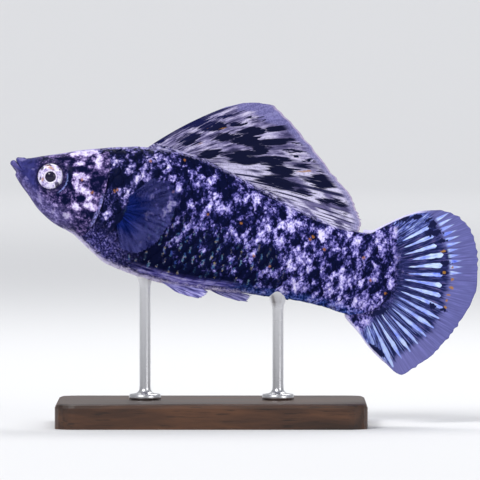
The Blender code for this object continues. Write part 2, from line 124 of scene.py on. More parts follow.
def trunk(u, turn, lift=0.0):
    """Points of the trunk's surface, lifted outwards. turn is 0 on the right side and 90 degrees on top."""
    up, side = np.sin(turn), np.cos(turn)
    level = middle(u)
    reach = np.where(up > 0, back(u) - level, level - belly(u))
    w = (half_width(u) + lift) * np.sign(side) * np.abs(side) ** fullness(u)
    return np.stack((u + 0 * turn, w, level + (reach + lift) * up), axis=-1)


def side_of_trunk(u, v):
    """How far out the flank is at a place in the side view."""
    level = middle(u)
    reach = np.where(v > level, back(u) - level, level - belly(u))
    up = np.minimum(1, np.abs(v - level) / reach)
    return half_width(u) * np.sqrt(1 - up * up) ** fullness(u)


def gill_flap(turn):
    """How free the gill cover's edge is: all along the side and throat, and not over the nape."""
    side = np.abs(np.cos(turn))
    return np.where(np.sin(turn) > 0, smooth(side, 0.42, 0.86), side ** 0.6)


def gill_pinch(u, turn):
    """How much narrower the shoulder is just behind the gill cover."""
    fade = np.exp(-(np.maximum(u - gill_line(turn), 0) / GILL_STEP_LENGTH) ** 2)
    return GILL_STEP * fade * gill_flap(turn)


# Making meshes

def placed(points):
    """Fish-frame millimetres to metres in the object's frame."""
    return points @ FISH[:3, :3].T + FISH[:3, 3]


def linked(name, data):
    """A new object in the scene with the mesh, light or camera."""
    holder = bpy.data.objects.new(name, data)
    bpy.context.scene.collection.objects.link(holder)
    return holder


def as_mesh(bm, name):
    mesh = bpy.data.meshes.new(name)
    bm.to_mesh(mesh)
    bm.free()
    return mesh


def finish_piece(name, mesh, material, stands_for=()):
    """Links a mesh as a piece that rides on the root and stands for the named nodes."""
    piece = linked(name, mesh)
    mesh.materials.append(material)
    mesh.shade_smooth()
    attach(piece, "root")
    if stands_for:
        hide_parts(*stands_for)
    return piece


def lay_grid(name, points, marks):
    """A mesh sheet over rows of points. Points that coincide are welded, which closes seams and poles."""
    rows, columns = points.shape[:2]
    bm = bmesh.new()
    bmesh.ops.create_grid(bm, x_segments=columns - 1, y_segments=rows - 1, size=0.5)
    layers = {key: bm.verts.layers.float.new(key) for key in marks}
    spots = placed(points)
    for vert in bm.verts:
        column = round((vert.co.x + 0.5) * (columns - 1))
        row = round((vert.co.y + 0.5) * (rows - 1))
        vert.co = spots[row, column]
        for key, layer in layers.items():
            vert[layer] = marks[key][row, column]
    bmesh.ops.remove_doubles(bm, verts=bm.verts, dist=1e-7)
    bmesh.ops.recalc_face_normals(bm, faces=bm.faces)
    return as_mesh(bm, name)


def spin_profile(profile, steps):
    """A lathe-turned mesh from (radius, height) points about +Z, in the profile's own units."""
    bm = bmesh.new()
    verts = [bm.verts.new((r, 0, z)) for r, z in profile]
    edges = [bm.edges.new(pair) for pair in zip(verts, verts[1:])]
    bmesh.ops.spin(bm, geom=verts + edges, cent=(0, 0, 0), axis=(0, 0, 1), dvec=(0, 0, 0),
                   angle=2 * math.pi, steps=steps, use_merge=True, use_duplicate=False)
    bmesh.ops.remove_doubles(bm, verts=bm.verts, dist=1e-6)
    bmesh.ops.recalc_face_normals(bm, faces=bm.faces)
    return bm


# Shader maths

class Wire:
    """A shader socket that adds its own Math nodes when it is used in an expression."""

    def __init__(self, tree, socket):
        self.tree, self.socket = tree, socket

    def maths(self, operation, *others):
        node = self.tree.nodes.new("ShaderNodeMath")
        node.operation = operation
        for slot, value in zip(node.inputs, (self, *others)):
            plug(self.tree, slot, value)
        return Wire(self.tree, node.outputs[0])

    def flipped(self, operation, other):
        node = self.tree.nodes.new("ShaderNodeMath")
        node.operation = operation
        plug(self.tree, node.inputs[0], other)
        plug(self.tree, node.inputs[1], self)
        return Wire(self.tree, node.outputs[0])

    def __add__(self, other):
        return self.maths("ADD", other)

    def __radd__(self, other):
        return self.flipped("ADD", other)

    def __sub__(self, other):
        return self.maths("SUBTRACT", other)

    def __rsub__(self, other):
        return self.flipped("SUBTRACT", other)

    def __mul__(self, other):
        return self.maths("MULTIPLY", other)

    def __truediv__(self, other):
        return self.maths("DIVIDE", other)

    def __abs__(self):
        return self.maths("ABSOLUTE")


def plug(tree, slot, value):
    """Links a wire to a socket, or sets the socket's own value."""
    if isinstance(value, Wire):
        tree.links.new(value.socket, slot)
    else:
        slot.default_value = value


class Finish:
    """A material under construction."""

    def __init__(self, name, **fixed):
        self.material = bpy.data.materials.new(name)
        self.material.use_nodes = True
        self.tree = self.material.node_tree
        self.shader = self.tree.nodes["Principled BSDF"]
        for key, value in fixed.items():
            self.shader.inputs[key.replace("_", " ")].default_value = value
        self.place = self.node("TexCoord", out="Object")
        self.fish = self.node("Mapping", {"vector_type": "TEXTURE"}, {
            "Vector": self.place, "Location": SNOUT, "Rotation": (0, PITCH, 0), "Scale": (MM, MM, MM)})

    def node(self, kind, settings=None, sockets=None, out=0):
        made = self.tree.nodes.new("ShaderNode" + kind)
        for key, value in (settings or {}).items():
            setattr(made, key, value)
        for key, value in (sockets or {}).items():
            plug(self.tree, made.inputs[key], value)
        return Wire(self.tree, made.outputs[out])

    def set(self, socket, value):
        plug(self.tree, self.shader.inputs[socket], value)

    def surface(self, colour, roughness):
        self.set("Base Color", colour)
        self.set("Roughness", roughness)

    def attribute(self, name):
        return self.node("Attribute", {"attribute_name": name}, out="Fac")

    def parts(self, vector):
        split = self.node("SeparateXYZ", sockets={0: vector})
        outputs = split.socket.node.outputs
        return [Wire(self.tree, outputs[i]) for i in range(3)]

    def vector(self, x, y, z):
        return self.node("CombineXYZ", sockets={0: x, 1: y, 2: z})

    def stretched(self, vector, scale, turn=0.0, place=(0, 0, 0)):
        """The pattern space of an ellipse at a place, whose long way rises by turn degrees."""
        return self.node("Mapping", {"vector_type": "TEXTURE"}, {
            "Vector": vector, "Location": place, "Rotation": (0, -math.radians(turn), 0), "Scale": scale})

    def noise(self, vector, scale, detail=3.0, roughness=0.55, distortion=0.0, out="Fac"):
        return self.node("TexNoise", None, {"Vector": vector, "Scale": scale, "Detail": detail,
                                            "Roughness": roughness, "Distortion": distortion}, out)

    def pattern(self, x, y, z, detail, roughness):
        return self.noise(self.vector(x, y, z), 1.0, detail, roughness)

    def length(self, vector):
        return self.node("VectorMath", {"operation": "LENGTH"}, {0: vector}, "Value")

    def wandering(self, vector, scale, amount, detail=2.0):
        """Coordinates whose patterns get uneven outlines."""
        drift = self.noise(vector, scale, detail, out="Color")
        drift = self.node("VectorMath", {"operation": "SUBTRACT"}, {0: drift, 1: (0.5, 0.5, 0.5)})
        drift = self.node("VectorMath", {"operation": "SCALE"}, {0: drift, "Scale": amount})
        return self.node("VectorMath", {"operation": "ADD"}, {0: vector, 1: drift})

    def step(self, value, low, high):
        """0 below low and 1 above high, or the other way round where high is the smaller."""
        return self.node("MapRange", {"interpolation_type": "SMOOTHSTEP", "clamp": True}, {
            "Value": value, "From Min": low, "From Max": high})

    def bump(self, height, strength, distance):
        sockets = {"Height": height, "Strength": strength, "Distance": distance}
        self.set("Normal", self.node("Bump", None, sockets))

    def mix(self, share, first, second):
        return self.node("Mix", {"data_type": "RGBA"}, {0: share, 6: tint(first), 7: tint(second)}, 2)

    def ramp(self, value, *stops):
        """A colour for the value, from (place, colour) stops."""
        made = self.node("ValToRGB", None, {"Fac": value}, "Color")
        elements = made.socket.node.color_ramp.elements
        while len(elements) < len(stops):
            elements.new(0.5)
        for element, (place, colour) in zip(elements, stops):
            element.position, element.color = place, tint(colour)
        return made

    def nearest(self, vector, spots):
        """The least distance to any of the spots (u, v, half length, half width, rise), 1 at their rims."""
        least = None
        for u, v, long, wide, rise in spots:
            away = self.length(self.stretched(vector, (long, 1000, wide), rise, (u, 0, v)))
            least = away if least is None else least.maths("MINIMUM", away)
        return least


def tint(colour):
    """A colour as it shows on a screen, 0 to 255, as the shader's linear light. A wire stays as it is."""
    if isinstance(colour, Wire):
        return colour
    shares = [value / 255 for value in colour]
    light = [((share + 0.055) / 1.055) ** 2.4 if share > 0.04 else share / 12.92 for share in shares]
    return (*light, 1)


# Colours, as they show on a screen
NIGHT, INK, INDIGO, DUSK = (8, 13, 46), (24, 27, 74), (50, 49, 108), (86, 81, 148)
VIOLET, LAVENDER, PEARL = (122, 114, 188), (178, 169, 232), (228, 222, 252)
ICE, AZURE, AMBER = (200, 220, 250), (60, 84, 216), (166, 108, 50)

# Markings of the coat, and of the snout with one painted highlight, as (u, v, half length, half width, rise
# in degrees)
COAT_DARK = (
    (21.4, 2.7, 2.1, 2.2, 16), (34.6, 10.1, 1.5, 1.6, 16), (42.6, 7.9, 1.3, 3.2, 16),
    (54.4, -3.6, 2.6, 2.3, 16), (54.9, 5.6, 0.9, 1.4, 16), (64.5, -4.3, 0.9, 1.2, 16),
    (68.1, -1.6, 1.1, 1.2, 16), (19.5, 7.6, 1.6, 1.2, 16), (18.3, 1.4, 1.7, 1.6, 16),
    (24.6, -3.4, 1.5, 2.5, 16), (38, -11.5, 14, 1.6, 2))
COAT_PALE = (
    (21.4, -4.8, 1.5, 2.6, 16), (18.9, 4.1, 0.6, 1.3, 76), (53.4, 1.2, 2.8, 2, -14),
    (55.9, 3.4, 2.4, 1.6, -14), (48.3, 6.4, 1.6, 2.4, 16), (64.1, 3.7, 2, 1.6, 16), (67.8, 1.7, 2, 2.4, 16),
    (41.2, 4.3, 2, 2.4, 16), (26.2, 8.7, 2, 1.2, 16), (60.8, -2.8, 2.4, 2, 16), (70, -4.5, 2, 1.6, 16))
FACE_PALE = (
    (14.4, 1.4, 2.1, 0.8, 8), (13.3, 0.3, 0.8, 1.5, 16), (14.6, -1, 1.5, 0.7, 10), (16.6, -1.9, 1, 1.4, 30),
    (17.7, -3.7, 1.5, 0.9, -10), (14.7, -4.8, 1, 0.9, 16), (13.4, 6.1, 3.7, 0.75, 23),
    (16.6, 5.4, 1, 1.8, 10), (13.2, 3.9, 1.1, 0.5, 10), (13.4, -6.8, 1.1, 0.9, 0),
    (7.3, -5, 1.8, 0.35, -54), (10.7, -6.8, 0.5, 0.7, 0))
FACE_DARK = (
    (11.9, 1.2, 0.7, 3.4, 8), (17.3, 1.3, 1.6, 2.3, 20), (15, -2.9, 1.5, 0.6, 20),
    (12.6, -3.6, 1.3, 1.5, 0), (13.6, 2.8, 2.6, 0.6, 14), (10.4, -3.9, 1.2, 0.6, 20),
    (17, -5.8, 1, 0.9, 20), (9.6, 3.7, 2.4, 0.4, 22))
# Pale spots on the snout: the one at the mouth's corner (3.7, -2.05) is a painted highlight
SNOUT_PALE_AND_HIGHLIGHT = ((1.7, 1.35, 0.9, 0.28, 14), (3.7, -2.05, 0.5, 0.2, -20), (4.55, 0.2, 0.28, 0.24, 0))
COAT_AMBER = (
    (14.5, 0.9), (17.1, -1), (21.3, 0.5), (21.8, 0.9), (33, 10.3), (26.5, 8.2), (32.6, 3.7), (40.5, 1.3),
    (47.3, 1.4), (61.5, 2.1), (61.9, 2.8), (55.2, -5.3), (51.6, -4.1), (64.8, 1), (72.8, 1.6), (75.4, -2.4),
    (79, -4.1))

# The colour of the sheen on the coat and on the webs
COAT_SHEEN, WEB_SHEEN = (0.30, 0.36, 0.95, 1), (0.4, 0.45, 0.95, 1)


def marbled(f, u, lighter):
    """The marbling of the flesh and of the tail's root: night blue broken by lavender and pearl."""
    uneven = f.wandering(f.fish, 0.7, 1.1)
    broad = f.noise(f.stretched(uneven, (1.0, 1.0, 1.5)), 0.60, 2.0, 0.55)
    fine = f.noise(f.stretched(f.fish, (1.0, 1.0, 1.3)), 2.1, 2.0, 0.6)
    grit = f.noise(f.fish, 3.6, 1.0, 0.5) - 0.5
    pale = f.step(f.nearest(uneven, COAT_PALE), 1.3, 0.3)
    dark = f.step(f.nearest(uneven, COAT_DARK), 1.25, 0.45)
    field = broad * 0.74 + (fine - 0.5) * 0.40 + grit * 0.12 + pale * 0.06 - dark * 0.15 + 0.13 + lighter
    field = field + f.step(u, 44, 64) * 0.034
    colour = f.ramp(field, (0.43, NIGHT), (0.48, INK), (0.513, INDIGO), (0.545, DUSK), (0.578, VIOLET),
                    (0.63, LAVENDER), (0.715, PEARL))
    return colour, fine


def flank_paint(f, u, height):
    """The trunk's marbling, less blue at the shoulder, bluer along the low edge, and its dashes."""
    single, rim, across = (f.attribute(key) for key in ("single", "rim", "across"))
    shoulder = f.step(u, 35, 24)
    lighter = (single - 0.5) * 0.08 - f.step(rim, 0.7, 1.0) * 0.05 + 0.001 - shoulder * 0.002
    lighter = lighter - f.step(height, 0.15, -0.4) * 0.09 * f.step(u, 60, 47)
    body, fine = marbled(f, u, lighter)
    warm = shoulder * 0.06 + 1
    warmth = f.vector(warm, warm, 1 - shoulder * 0.09)
    body = f.node("VectorMath", {"operation": "MULTIPLY"}, {0: body, 1: warmth})

    low_edge = f.step(height, -0.72, -0.95) * f.step(u, 40, 46)
    blue = f.ramp(fine, (0.40, (20, 34, 88)), (0.50, (38, 70, 158)), (0.62, (96, 120, 206)))
    body = f.mix(low_edge * 0.75, body, blue)

    # Short upright dashes that glint on the low scales
    ragged = f.noise(f.fish, 2.4, 2.0, 0.6) - 0.5
    dash_place = rim - across * 0.02 + (single - 0.5) * 0.36 + ragged * 0.36
    dash = f.step(abs(dash_place - 0.60), 0.085, 0.02)
    dash = dash * f.step(abs(across - (single - 0.5) * 0.5), 0.72, 0.40)
    low = f.step(height, 0.24, -0.2) * f.step(height, -0.88, -0.80) * f.step(u, 23, 28) * f.step(u, 62, 50)
    patchy = f.step(f.noise(f.fish, 1.0, 1.0), 0.44, 0.54)
    glint = f.ramp(f.noise(f.fish, 1.1, 1.0), (0.34, (54, 76, 158)), (0.44, (78, 122, 160)),
                   (0.51, (122, 150, 166)), (0.57, (134, 130, 192)), (0.65, (158, 146, 108)))
    body = f.mix(dash * low * (patchy * 0.60 + 0.15) * f.step(single, 0.12, 0.42), body, glint)
    return body, fine, ragged


def belly_paint(f, body, u, w, height, fine, ragged):
    """Dull mauve over the breast, and pale streaks of the folded fins along the belly."""
    breast = f.step(height, -0.30, -0.72) * f.step(u, 31, 23)
    mauve = f.ramp(fine * 0.7 + ragged * 0.6 + 0.15, (0.40, (28, 28, 76)), (0.48, (56, 54, 114)),
                   (0.56, (92, 86, 164)), (0.66, (156, 148, 220)))
    body = f.mix(breast * 0.65, body, mauve)
    along_belly = f.pattern(u * 0.22, w * 0.2, height * 26.0, 3.0, 0.6)
    band = f.step(height + (along_belly - 0.5) * 0.12, -0.74, -0.84) * f.step(u, 27, 33) * f.step(u, 52, 47)
    streaks = f.ramp(along_belly, (0.38, (38, 36, 92)), (0.48, (84, 78, 156)),
                     (0.56, (136, 128, 208)), (0.66, (190, 184, 238)))
    return f.mix(band * 0.85, body, streaks)


def face_paint(f, u, v, height, mottle, speckle):
    """The head: plain violet-grey snout and chin, inky behind the eye, with pearly cheeks."""
    uneven = f.wandering(f.fish, 0.9, 1.0)
    pale = f.step(f.nearest(uneven, FACE_PALE), 1.2, 0.45)
    dark = f.step(f.nearest(uneven, FACE_DARK), 1.25, 0.5)
    field = mottle * 0.9 + (speckle - 0.5) * 0.40 + pale * 0.23 - dark * 0.13 + 0.05
    face = f.ramp(field, (0.38, NIGHT), (0.44, (28, 26, 66)), (0.51, (62, 53, 98)),
                  (0.58, (116, 99, 154)), (0.67, (184, 166, 218)), (0.78, (232, 225, 247)))
    snout = f.ramp(mottle, (0.35, (36, 36, 84)), (0.5, (48, 48, 106)), (0.68, (60, 60, 126)))
    face = f.mix(f.step(u + v * 0.35, 6.8, 4.4), face, snout)
    chin = f.ramp(mottle + (speckle - 0.5) * 0.5, (0.36, (66, 60, 106)), (0.52, (98, 90, 146)),
                  (0.68, (146, 138, 196)))
    face = f.mix(f.step(height, -0.30, -0.72) * f.step(u, 17, 12) * 0.85, face, chin)

    # The lips, and painted shade inside the slit between them
    lip = f.attribute("lip")
    face = f.mix(f.step(lip, 0.5, 1.0) * 0.45, face, (74, 73, 140))
    # Pale spots on the snout, with a painted highlight at the mouth's corner
    face = f.mix(f.step(f.nearest(uneven, SNOUT_PALE_AND_HIGHLIGHT), 1.4, 0.6) * 0.42, face, (150, 142, 206))
    # Painted shade: the rows inside the mouth are darkened
    face = f.mix(f.step(lip, -0.4, -1.0), face, (46, 42, 88))

    # The eye's dark orbit, a bright curve of painted glint behind it, and the pale edge of the gill cover
    orbit = f.length(f.vector(u - EYE_U, 0, v - EYE_V))
    face = f.mix(f.step(orbit, 3.3, 2.8) * 0.8, face, (26, 24, 58))
    # Painted glint: a broken light-blue curve of highlight behind the eye
    painted_glint_arc = f.step(abs(orbit - 3.45), 0.26, 0.05) * f.step(u, 10.2, 11.2) * f.step(v, 1.6, 0.6)
    face = f.mix(painted_glint_arc * 0.7 * f.step(speckle, 0.42, 0.54), face, (138, 150, 224))
    gap = f.attribute("gill_gap")
    edge = f.step(gap + (mottle - 0.5) * 1.1, 0.75, 0.15) * f.step(v, 0.4, -2.4) * f.step(v, -8.2, -6.4)
    return f.mix(edge * (0.15 + f.step(speckle, 0.38, 0.60) * 0.6), face, (158, 158, 232))


def coat_material():
    """Moist marbled skin over the trunk and the head, with a pale keel, a painted rim light along the crest
    and a few amber flecks.
    """
    f = Finish("marbled_skin", Coat_Weight=0.018, Coat_Roughness=0.14, Specular_IOR_Level=0.05,
               Specular_Tint=COAT_SHEEN)
    u, w, v = f.parts(f.fish)
    height = f.attribute("height")
    body, fine, ragged = flank_paint(f, u, height)
    body = belly_paint(f, body, u, w, height, fine, ragged)
    mottle = f.noise(f.fish, 0.9, 4.0, 0.62)
    speckle = f.noise(f.fish, 2.6, 2.0, 0.65)
    colour = f.mix(f.attribute("face"), body, face_paint(f, u, v, height, mottle, speckle))

    # The keel of the belly, and a painted rim light along the crest of the back
    keel = f.step(height + (mottle - 0.5) * 0.24, -0.87, -0.98)
    keel = keel * f.step(u + (mottle - 0.5) * 14, 12, 16) * f.step(u, 56, 48)
    pale = f.ramp(fine * 0.6 + speckle * 0.4, (0.40, (84, 76, 138)), (0.48, (160, 150, 212)),
                  (0.56, (236, 228, 254)))
    colour = f.mix(keel * 0.85, colour, pale)
    lowest = f.step(height + (fine - 0.5) * 0.10, -0.925, -0.965) * f.step(u, 13, 19) * f.step(u, 44, 34)
    colour = f.mix(lowest * 0.7, colour, (228, 220, 252))
    # Painted rim light: a pale broken line along the top of the head and back
    crest = f.step(height + (speckle - 0.5) * 0.05, 0.955, 0.985) * f.step(u, 4, 8) * f.step(u, 66, 60)
    colour = f.mix(crest * 0.6 * f.step(fine, 0.40, 0.52), colour, (166, 160, 216))

    # Amber flecks
    drift = f.parts(f.wandering(f.fish, 2.8, 0.8))
    flat, least = f.vector(drift[0], 0, drift[2]), 9
    for fleck_u, fleck_v in COAT_AMBER:
        ends = {0: flat, 1: (fleck_u, 0, fleck_v)}
        least = f.node("VectorMath", {"operation": "DISTANCE"}, ends, "Value").maths("MINIMUM", least)
    colour = f.mix(f.step(least, 0.40, 0.14) * 0.72, colour, AMBER)

    f.surface(colour, 0.48 + speckle * 0.22)
    f.bump(f.noise(f.fish, 3.2, 3.0, 0.6) + f.noise(f.fish, 9.0, 1.0) * 0.35, 0.35, 0.00012)
    return f.material


# Blotches of the sail
SAIL_DARK = (
    (27, 12.4, 1.3, 0.45, 16), (36.6, 18.4, 2.1, 0.85, 28), (32.7, 14.5, 2, 0.95, 40),
    (33.3, 18.4, 3.2, 0.5, 41), (40, 22.1, 1.5, 0.2, 34), (38.2, 20.9, 1.4, 0.2, 36),
    (43.9, 22.5, 0.5, 0.25, 16), (45.4, 22.1, 0.5, 0.25, 16), (66.6, 8.9, 0.35, 0.3, 16),
    (54, 19.8, 0.6, 0.36, 16), (56.5, 18.8, 0.6, 0.36, 16), (54.3, 17.4, 0.9, 0.3, 16),
    (58.5, 17.6, 0.6, 0.34, 16), (56.2, 17, 0.7, 0.34, 16), (66.2, 6.9, 0.35, 0.3, 16),
    (62.4, 10, 0.35, 0.45, -4), (67.2, 11.5, 0.35, 0.4, -30), (39.6, 17, 2.1, 0.8, 19),
    (44.3, 19.5, 2.4, 0.8, 28), (49.5, 21.7, 2.6, 0.5, 24), (44.1, 17.5, 2.2, 1, 16),
    (49.3, 18.8, 3, 0.6, 18), (46.9, 16.5, 1.9, 1, 16), (44.1, 14, 3.2, 1.3, 10), (49.8, 15, 2.4, 0.9, 11),
    (37.5, 12.7, 2.7, 0.8, 28), (52, 13.5, 2.7, 1.1, 8), (52.2, 11.2, 3.5, 1.1, 4),
    (56.7, 15.9, 1, 0.5, 16), (60.9, 14, 2.7, 1.3, 12), (57.4, 10.6, 1.4, 0.6, -6),
    (64.3, 10.6, 2.6, 0.5, 1), (41, 20.1, 1.3, 0.4, 21), (29.2, 11.4, 1.9, 0.4, -4),
    (50, 8.6, 2.9, 0.4, -12), (53.8, 18.3, 1, 0.4, 11), (60.7, 16.1, 1.1, 0.3, 11))
SAIL_AMBER = ((56.7, 14.9, 1, 0.2, 16), (38, 18.3, 0.4, 0.2, 16), (34.7, 14.2, 0.3, 0.2, 16))


def sail_panes(f, ray, along, fine, feather):
    """The rear of the sail: between two rays a row of pale panes, with ink lines on the rays."""
    pane = f.pattern(ray.maths("FLOOR") * 4.7, along * 4.6, 1.0, 1.0, 0.5)
    inked = f.pattern((ray + 0.5).maths("FLOOR") * 3.3, along * 3.4, 6.0, 2.0, 0.5)
    within = abs(ray.maths("FRACT") - 0.5) + feather * 0.16
    panes = f.mix(f.step(pane * 0.75 + fine * 0.25, 0.42, 0.53), (104, 98, 140), (206, 201, 230))
    panes = f.mix(f.step(pane, 0.36, 0.30), panes, (46, 42, 78))
    return f.mix(f.step(within, 0.26, 0.40) * f.step(inked, 0.60, 0.44), panes, (30, 30, 64))


def sail_margin(f, ray, grain, fine):
    """The plain outer band of the sail, greyer towards its rear."""
    front = f.mix(f.step(grain * 0.6 + fine * 0.4, 0.38, 0.62), (96, 93, 142), (126, 123, 178))
    rear = f.mix(f.step(grain, 0.40, 0.60), (122, 118, 158), (158, 153, 192))
    return f.mix(f.step(ray, 2.6, 6.0) * 0.8, front, rear)


def sail_material():
    """The dorsal web: cream and lilac streaks along the rays, ink blotches, a plain outer band."""
    f = Finish("sail_web", Coat_Weight=0.02, Coat_Roughness=0.3, Specular_IOR_Level=0.12,
               Specular_Tint=WEB_SHEEN)
    u, _, v = f.parts(f.fish)
    ray, along, inset = (f.attribute(key) for key in ("ray", "along", "inset"))
    streaks = f.pattern(ray * 1.9, along * 4.0, 0, 3.0, 0.6)
    fine = f.pattern(ray * 7.0, along * 6.0, 3.0, 3.0, 0.65)
    feather = f.pattern(ray * 4.0, along * 3.4, 9.0, 3.0, 0.7) - 0.5
    grain = f.noise(f.fish, 3.2, 2.0, 0.7)
    web = f.ramp(streaks * 0.55 + fine * 0.45, (0.38, (60, 56, 94)), (0.47, (114, 107, 148)),
                 (0.53, (162, 155, 193)), (0.60, (202, 195, 224)))
    dash = f.step(fine + feather * 0.7, 0.47, 0.37) * f.step(along, 0.9, 0.7) * f.step(ray, 8.0, 5.0)
    web = f.mix(dash * 0.8, web, (30, 30, 62))
    web = f.mix(f.step(ray + feather * 3.0, 3.6, 6.4), web, sail_panes(f, ray, along, fine, feather))
    web = f.mix(f.step(grain, 0.52, 0.36) * 0.34, web, (74, 70, 104))

    # The outer band reaches further in at the sail's peak, and the web is pale at the front root
    hem = inset + feather * 3.0 - f.step(ray, 3.6, 2.5) * f.step(ray, 0.5, 1.3) * 2.6
    web = f.mix(f.step(hem, 2.3, 0.9) * 0.92, web, sail_margin(f, ray, grain, fine))
    web = f.mix(f.step(u, 28.0, 26.2) * f.step(fine, 0.34, 0.5) * 0.75, web, (198, 192, 234))

    # Ink blotches with edges feathered along the rays, and a dark front edge
    flow = f.vector(u + feather * 10.0 + (fine - 0.5) * 4.0, 0, v + feather * 3.4 + (fine - 0.5) * 1.8)
    ink = f.step(f.nearest(flow, SAIL_DARK), 1.30, 1.02)
    front = f.step(ray + feather * 0.9 - along * 0.5, 0.34, 0.06) * f.step(along, 0.10, 0.20)
    ink = ink.maths("MAXIMUM", front * 0.9)
    ink_colour = f.mix(f.step(ray + (streaks - 0.5) * 3.0, 2.6, 0.5), (12, 15, 42), (22, 24, 70))
    web = f.mix(ink * f.step(along, 0.97, 0.9), web, ink_colour)
    web = f.mix(f.step(f.nearest(flow, SAIL_AMBER), 1.3, 0.7) * 0.75, web, (160, 112, 44))

    # A pale broken strip along the back, and a rosy rim behind
    above = v - (18.7 - u * 0.2).maths("MINIMUM", 11.4)
    strip = f.step(above + (fine - 0.5) * 1.4, 0.55, 0.15)
    broken = f.pattern(u * 0.55, above * 1.3, 0, 3.0, 0.6)
    strip_colour = f.ramp(broken, (0.42, (22, 22, 60)), (0.48, (120, 114, 168)),
                          (0.54, (196, 190, 232)), (0.62, (214, 208, 238)))
    web = f.mix(strip * 0.85, web, strip_colour)
    rim = f.step(inset + feather * 0.6, 0.55, 0.2) * f.step(ray, 1.6, 2.4)
    web = f.mix(rim * 0.6, web, (196, 180, 204))
    f.surface(web, 0.40 + fine * 0.2)
    bands = {"Vector": f.vector(along, 0, 0), "Scale": 16.0}
    joints = f.node("TexWave", {"bands_direction": "X"}, bands, "Fac")
    f.bump(fine * 0.6 + streaks * 0.4 + joints * 0.15, 0.4, 0.0001)
    return f.material


# Blotches and bars of the tail
TAIL_DARK = (
    (80.8, 12.4, 1, 0.4, 21), (78.3, 11.1, 1.3, 0.5, 46), (84.1, 11.7, 0.9, 0.7, 41),
    (84.9, 10.2, 1.6, 0.6, 24), (87, 9.2, 0.9, 0.4, 16), (83.1, 12.4, 0.7, 0.3, 41),
    (88.8, 5.2, 1, 0.4, 16), (89.1, 3.1, 0.7, 0.5, 16), (91.1, -4, 0.6, 0.4, -4),
    (88.7, -3.9, 0.8, 0.4, -19), (80.5, -15.6, 1.8, 0.7, -34), (78.9, -8, 2.2, 0.55, 36))
TAIL_AMBER = (
    (89.1, 3.2, 0.4, 0.3, 16), (90.4, 4.7, 0.3, 0.25, 16), (91.1, 2.3, 0.4, 0.3, 16),
    (91.3, 0.7, 0.5, 0.3, 16), (91.2, -0.8, 0.5, 0.25, 16), (91.2, -2, 0.3, 0.25, 16),
    (91.3, -3.4, 0.4, 0.3, -4), (87.8, 7.3, 0.6, 0.2, 21))
TAIL_FIRST_BAR, TAIL_BAR_STEP = 44.3, 6.17


def tail_bars(f, angle, far, turn, own, fine, wobble):
    """How far each place is on an icy bar, and how far it is on the tail's lower half."""
    bend = f.pattern(turn.maths("FLOOR") * 5.3, far * 0.34, 2.0, 2.0, 0.6) - 0.5
    within = abs(turn.maths("FRACT") - 0.5 + bend * 0.22)
    inner = 9.4 + own * 1.5 + f.step(angle, 0, 25) * 1.3
    outer = 18.5 + own * 1.2 + f.step(angle, 12, -12) * 1.9 + f.step(angle, -20, -44) * 0.4
    below = f.step(angle, 2, -14)
    width = f.step(far, 10.5, 18.0) * 0.15 + 0.06 + (wobble - 0.5) * 0.26
    width = width * (1 - below * (0.10 + f.step(far - outer, -3.6, -0.2) * 0.66)) * (0.88 + own * 0.24)
    width = width * f.step(far - outer, 0.1, -0.6) * f.step(far - inner, 0.0, 2.4)
    bars = f.step(within - width + (fine - 0.5) * 0.12, 0.045, -0.025) * f.step(width, 0.02, 0.06)
    bars = bars * f.step(angle, 52, 44) * f.step(angle, -62, -50)

    # Past the upper bars a row of short spikes, two to a bar, runs out into the margin
    double = abs((turn * 2).maths("FRACT") - 0.5)
    thin = f.step(far, 24.3 - own * 1.4, 20.4) * 0.33
    beyond = f.step(double - thin, 0.05, -0.06) * f.step(far, 20.2, 20.9) * f.step(far, 24.0, 22.6)
    beyond = beyond * f.step(angle, 12, 14) * f.step(angle, 48.2, 46.6)
    return bars.maths("MAXIMUM", beyond * 0.92), below


def tail_web(f, angle, fine):
    """The dark web between the bars, streaky along the upper and lower edge."""
    web = f.ramp(fine, (0.36, (14, 20, 58)), (0.50, (34, 39, 88)), (0.60, (62, 64, 122)),
                 (0.70, (112, 94, 134)))
    streaks = f.ramp(fine, (0.37, (20, 26, 66)), (0.46, (50, 56, 112)), (0.52, (86, 98, 176)),
                     (0.59, (126, 140, 214)), (0.67, (196, 208, 250)))
    edges = f.step(angle, 40, 50).maths("MAXIMUM", f.step(angle, -44, -54))
    return f.mix(edges * 0.9, web, streaks)


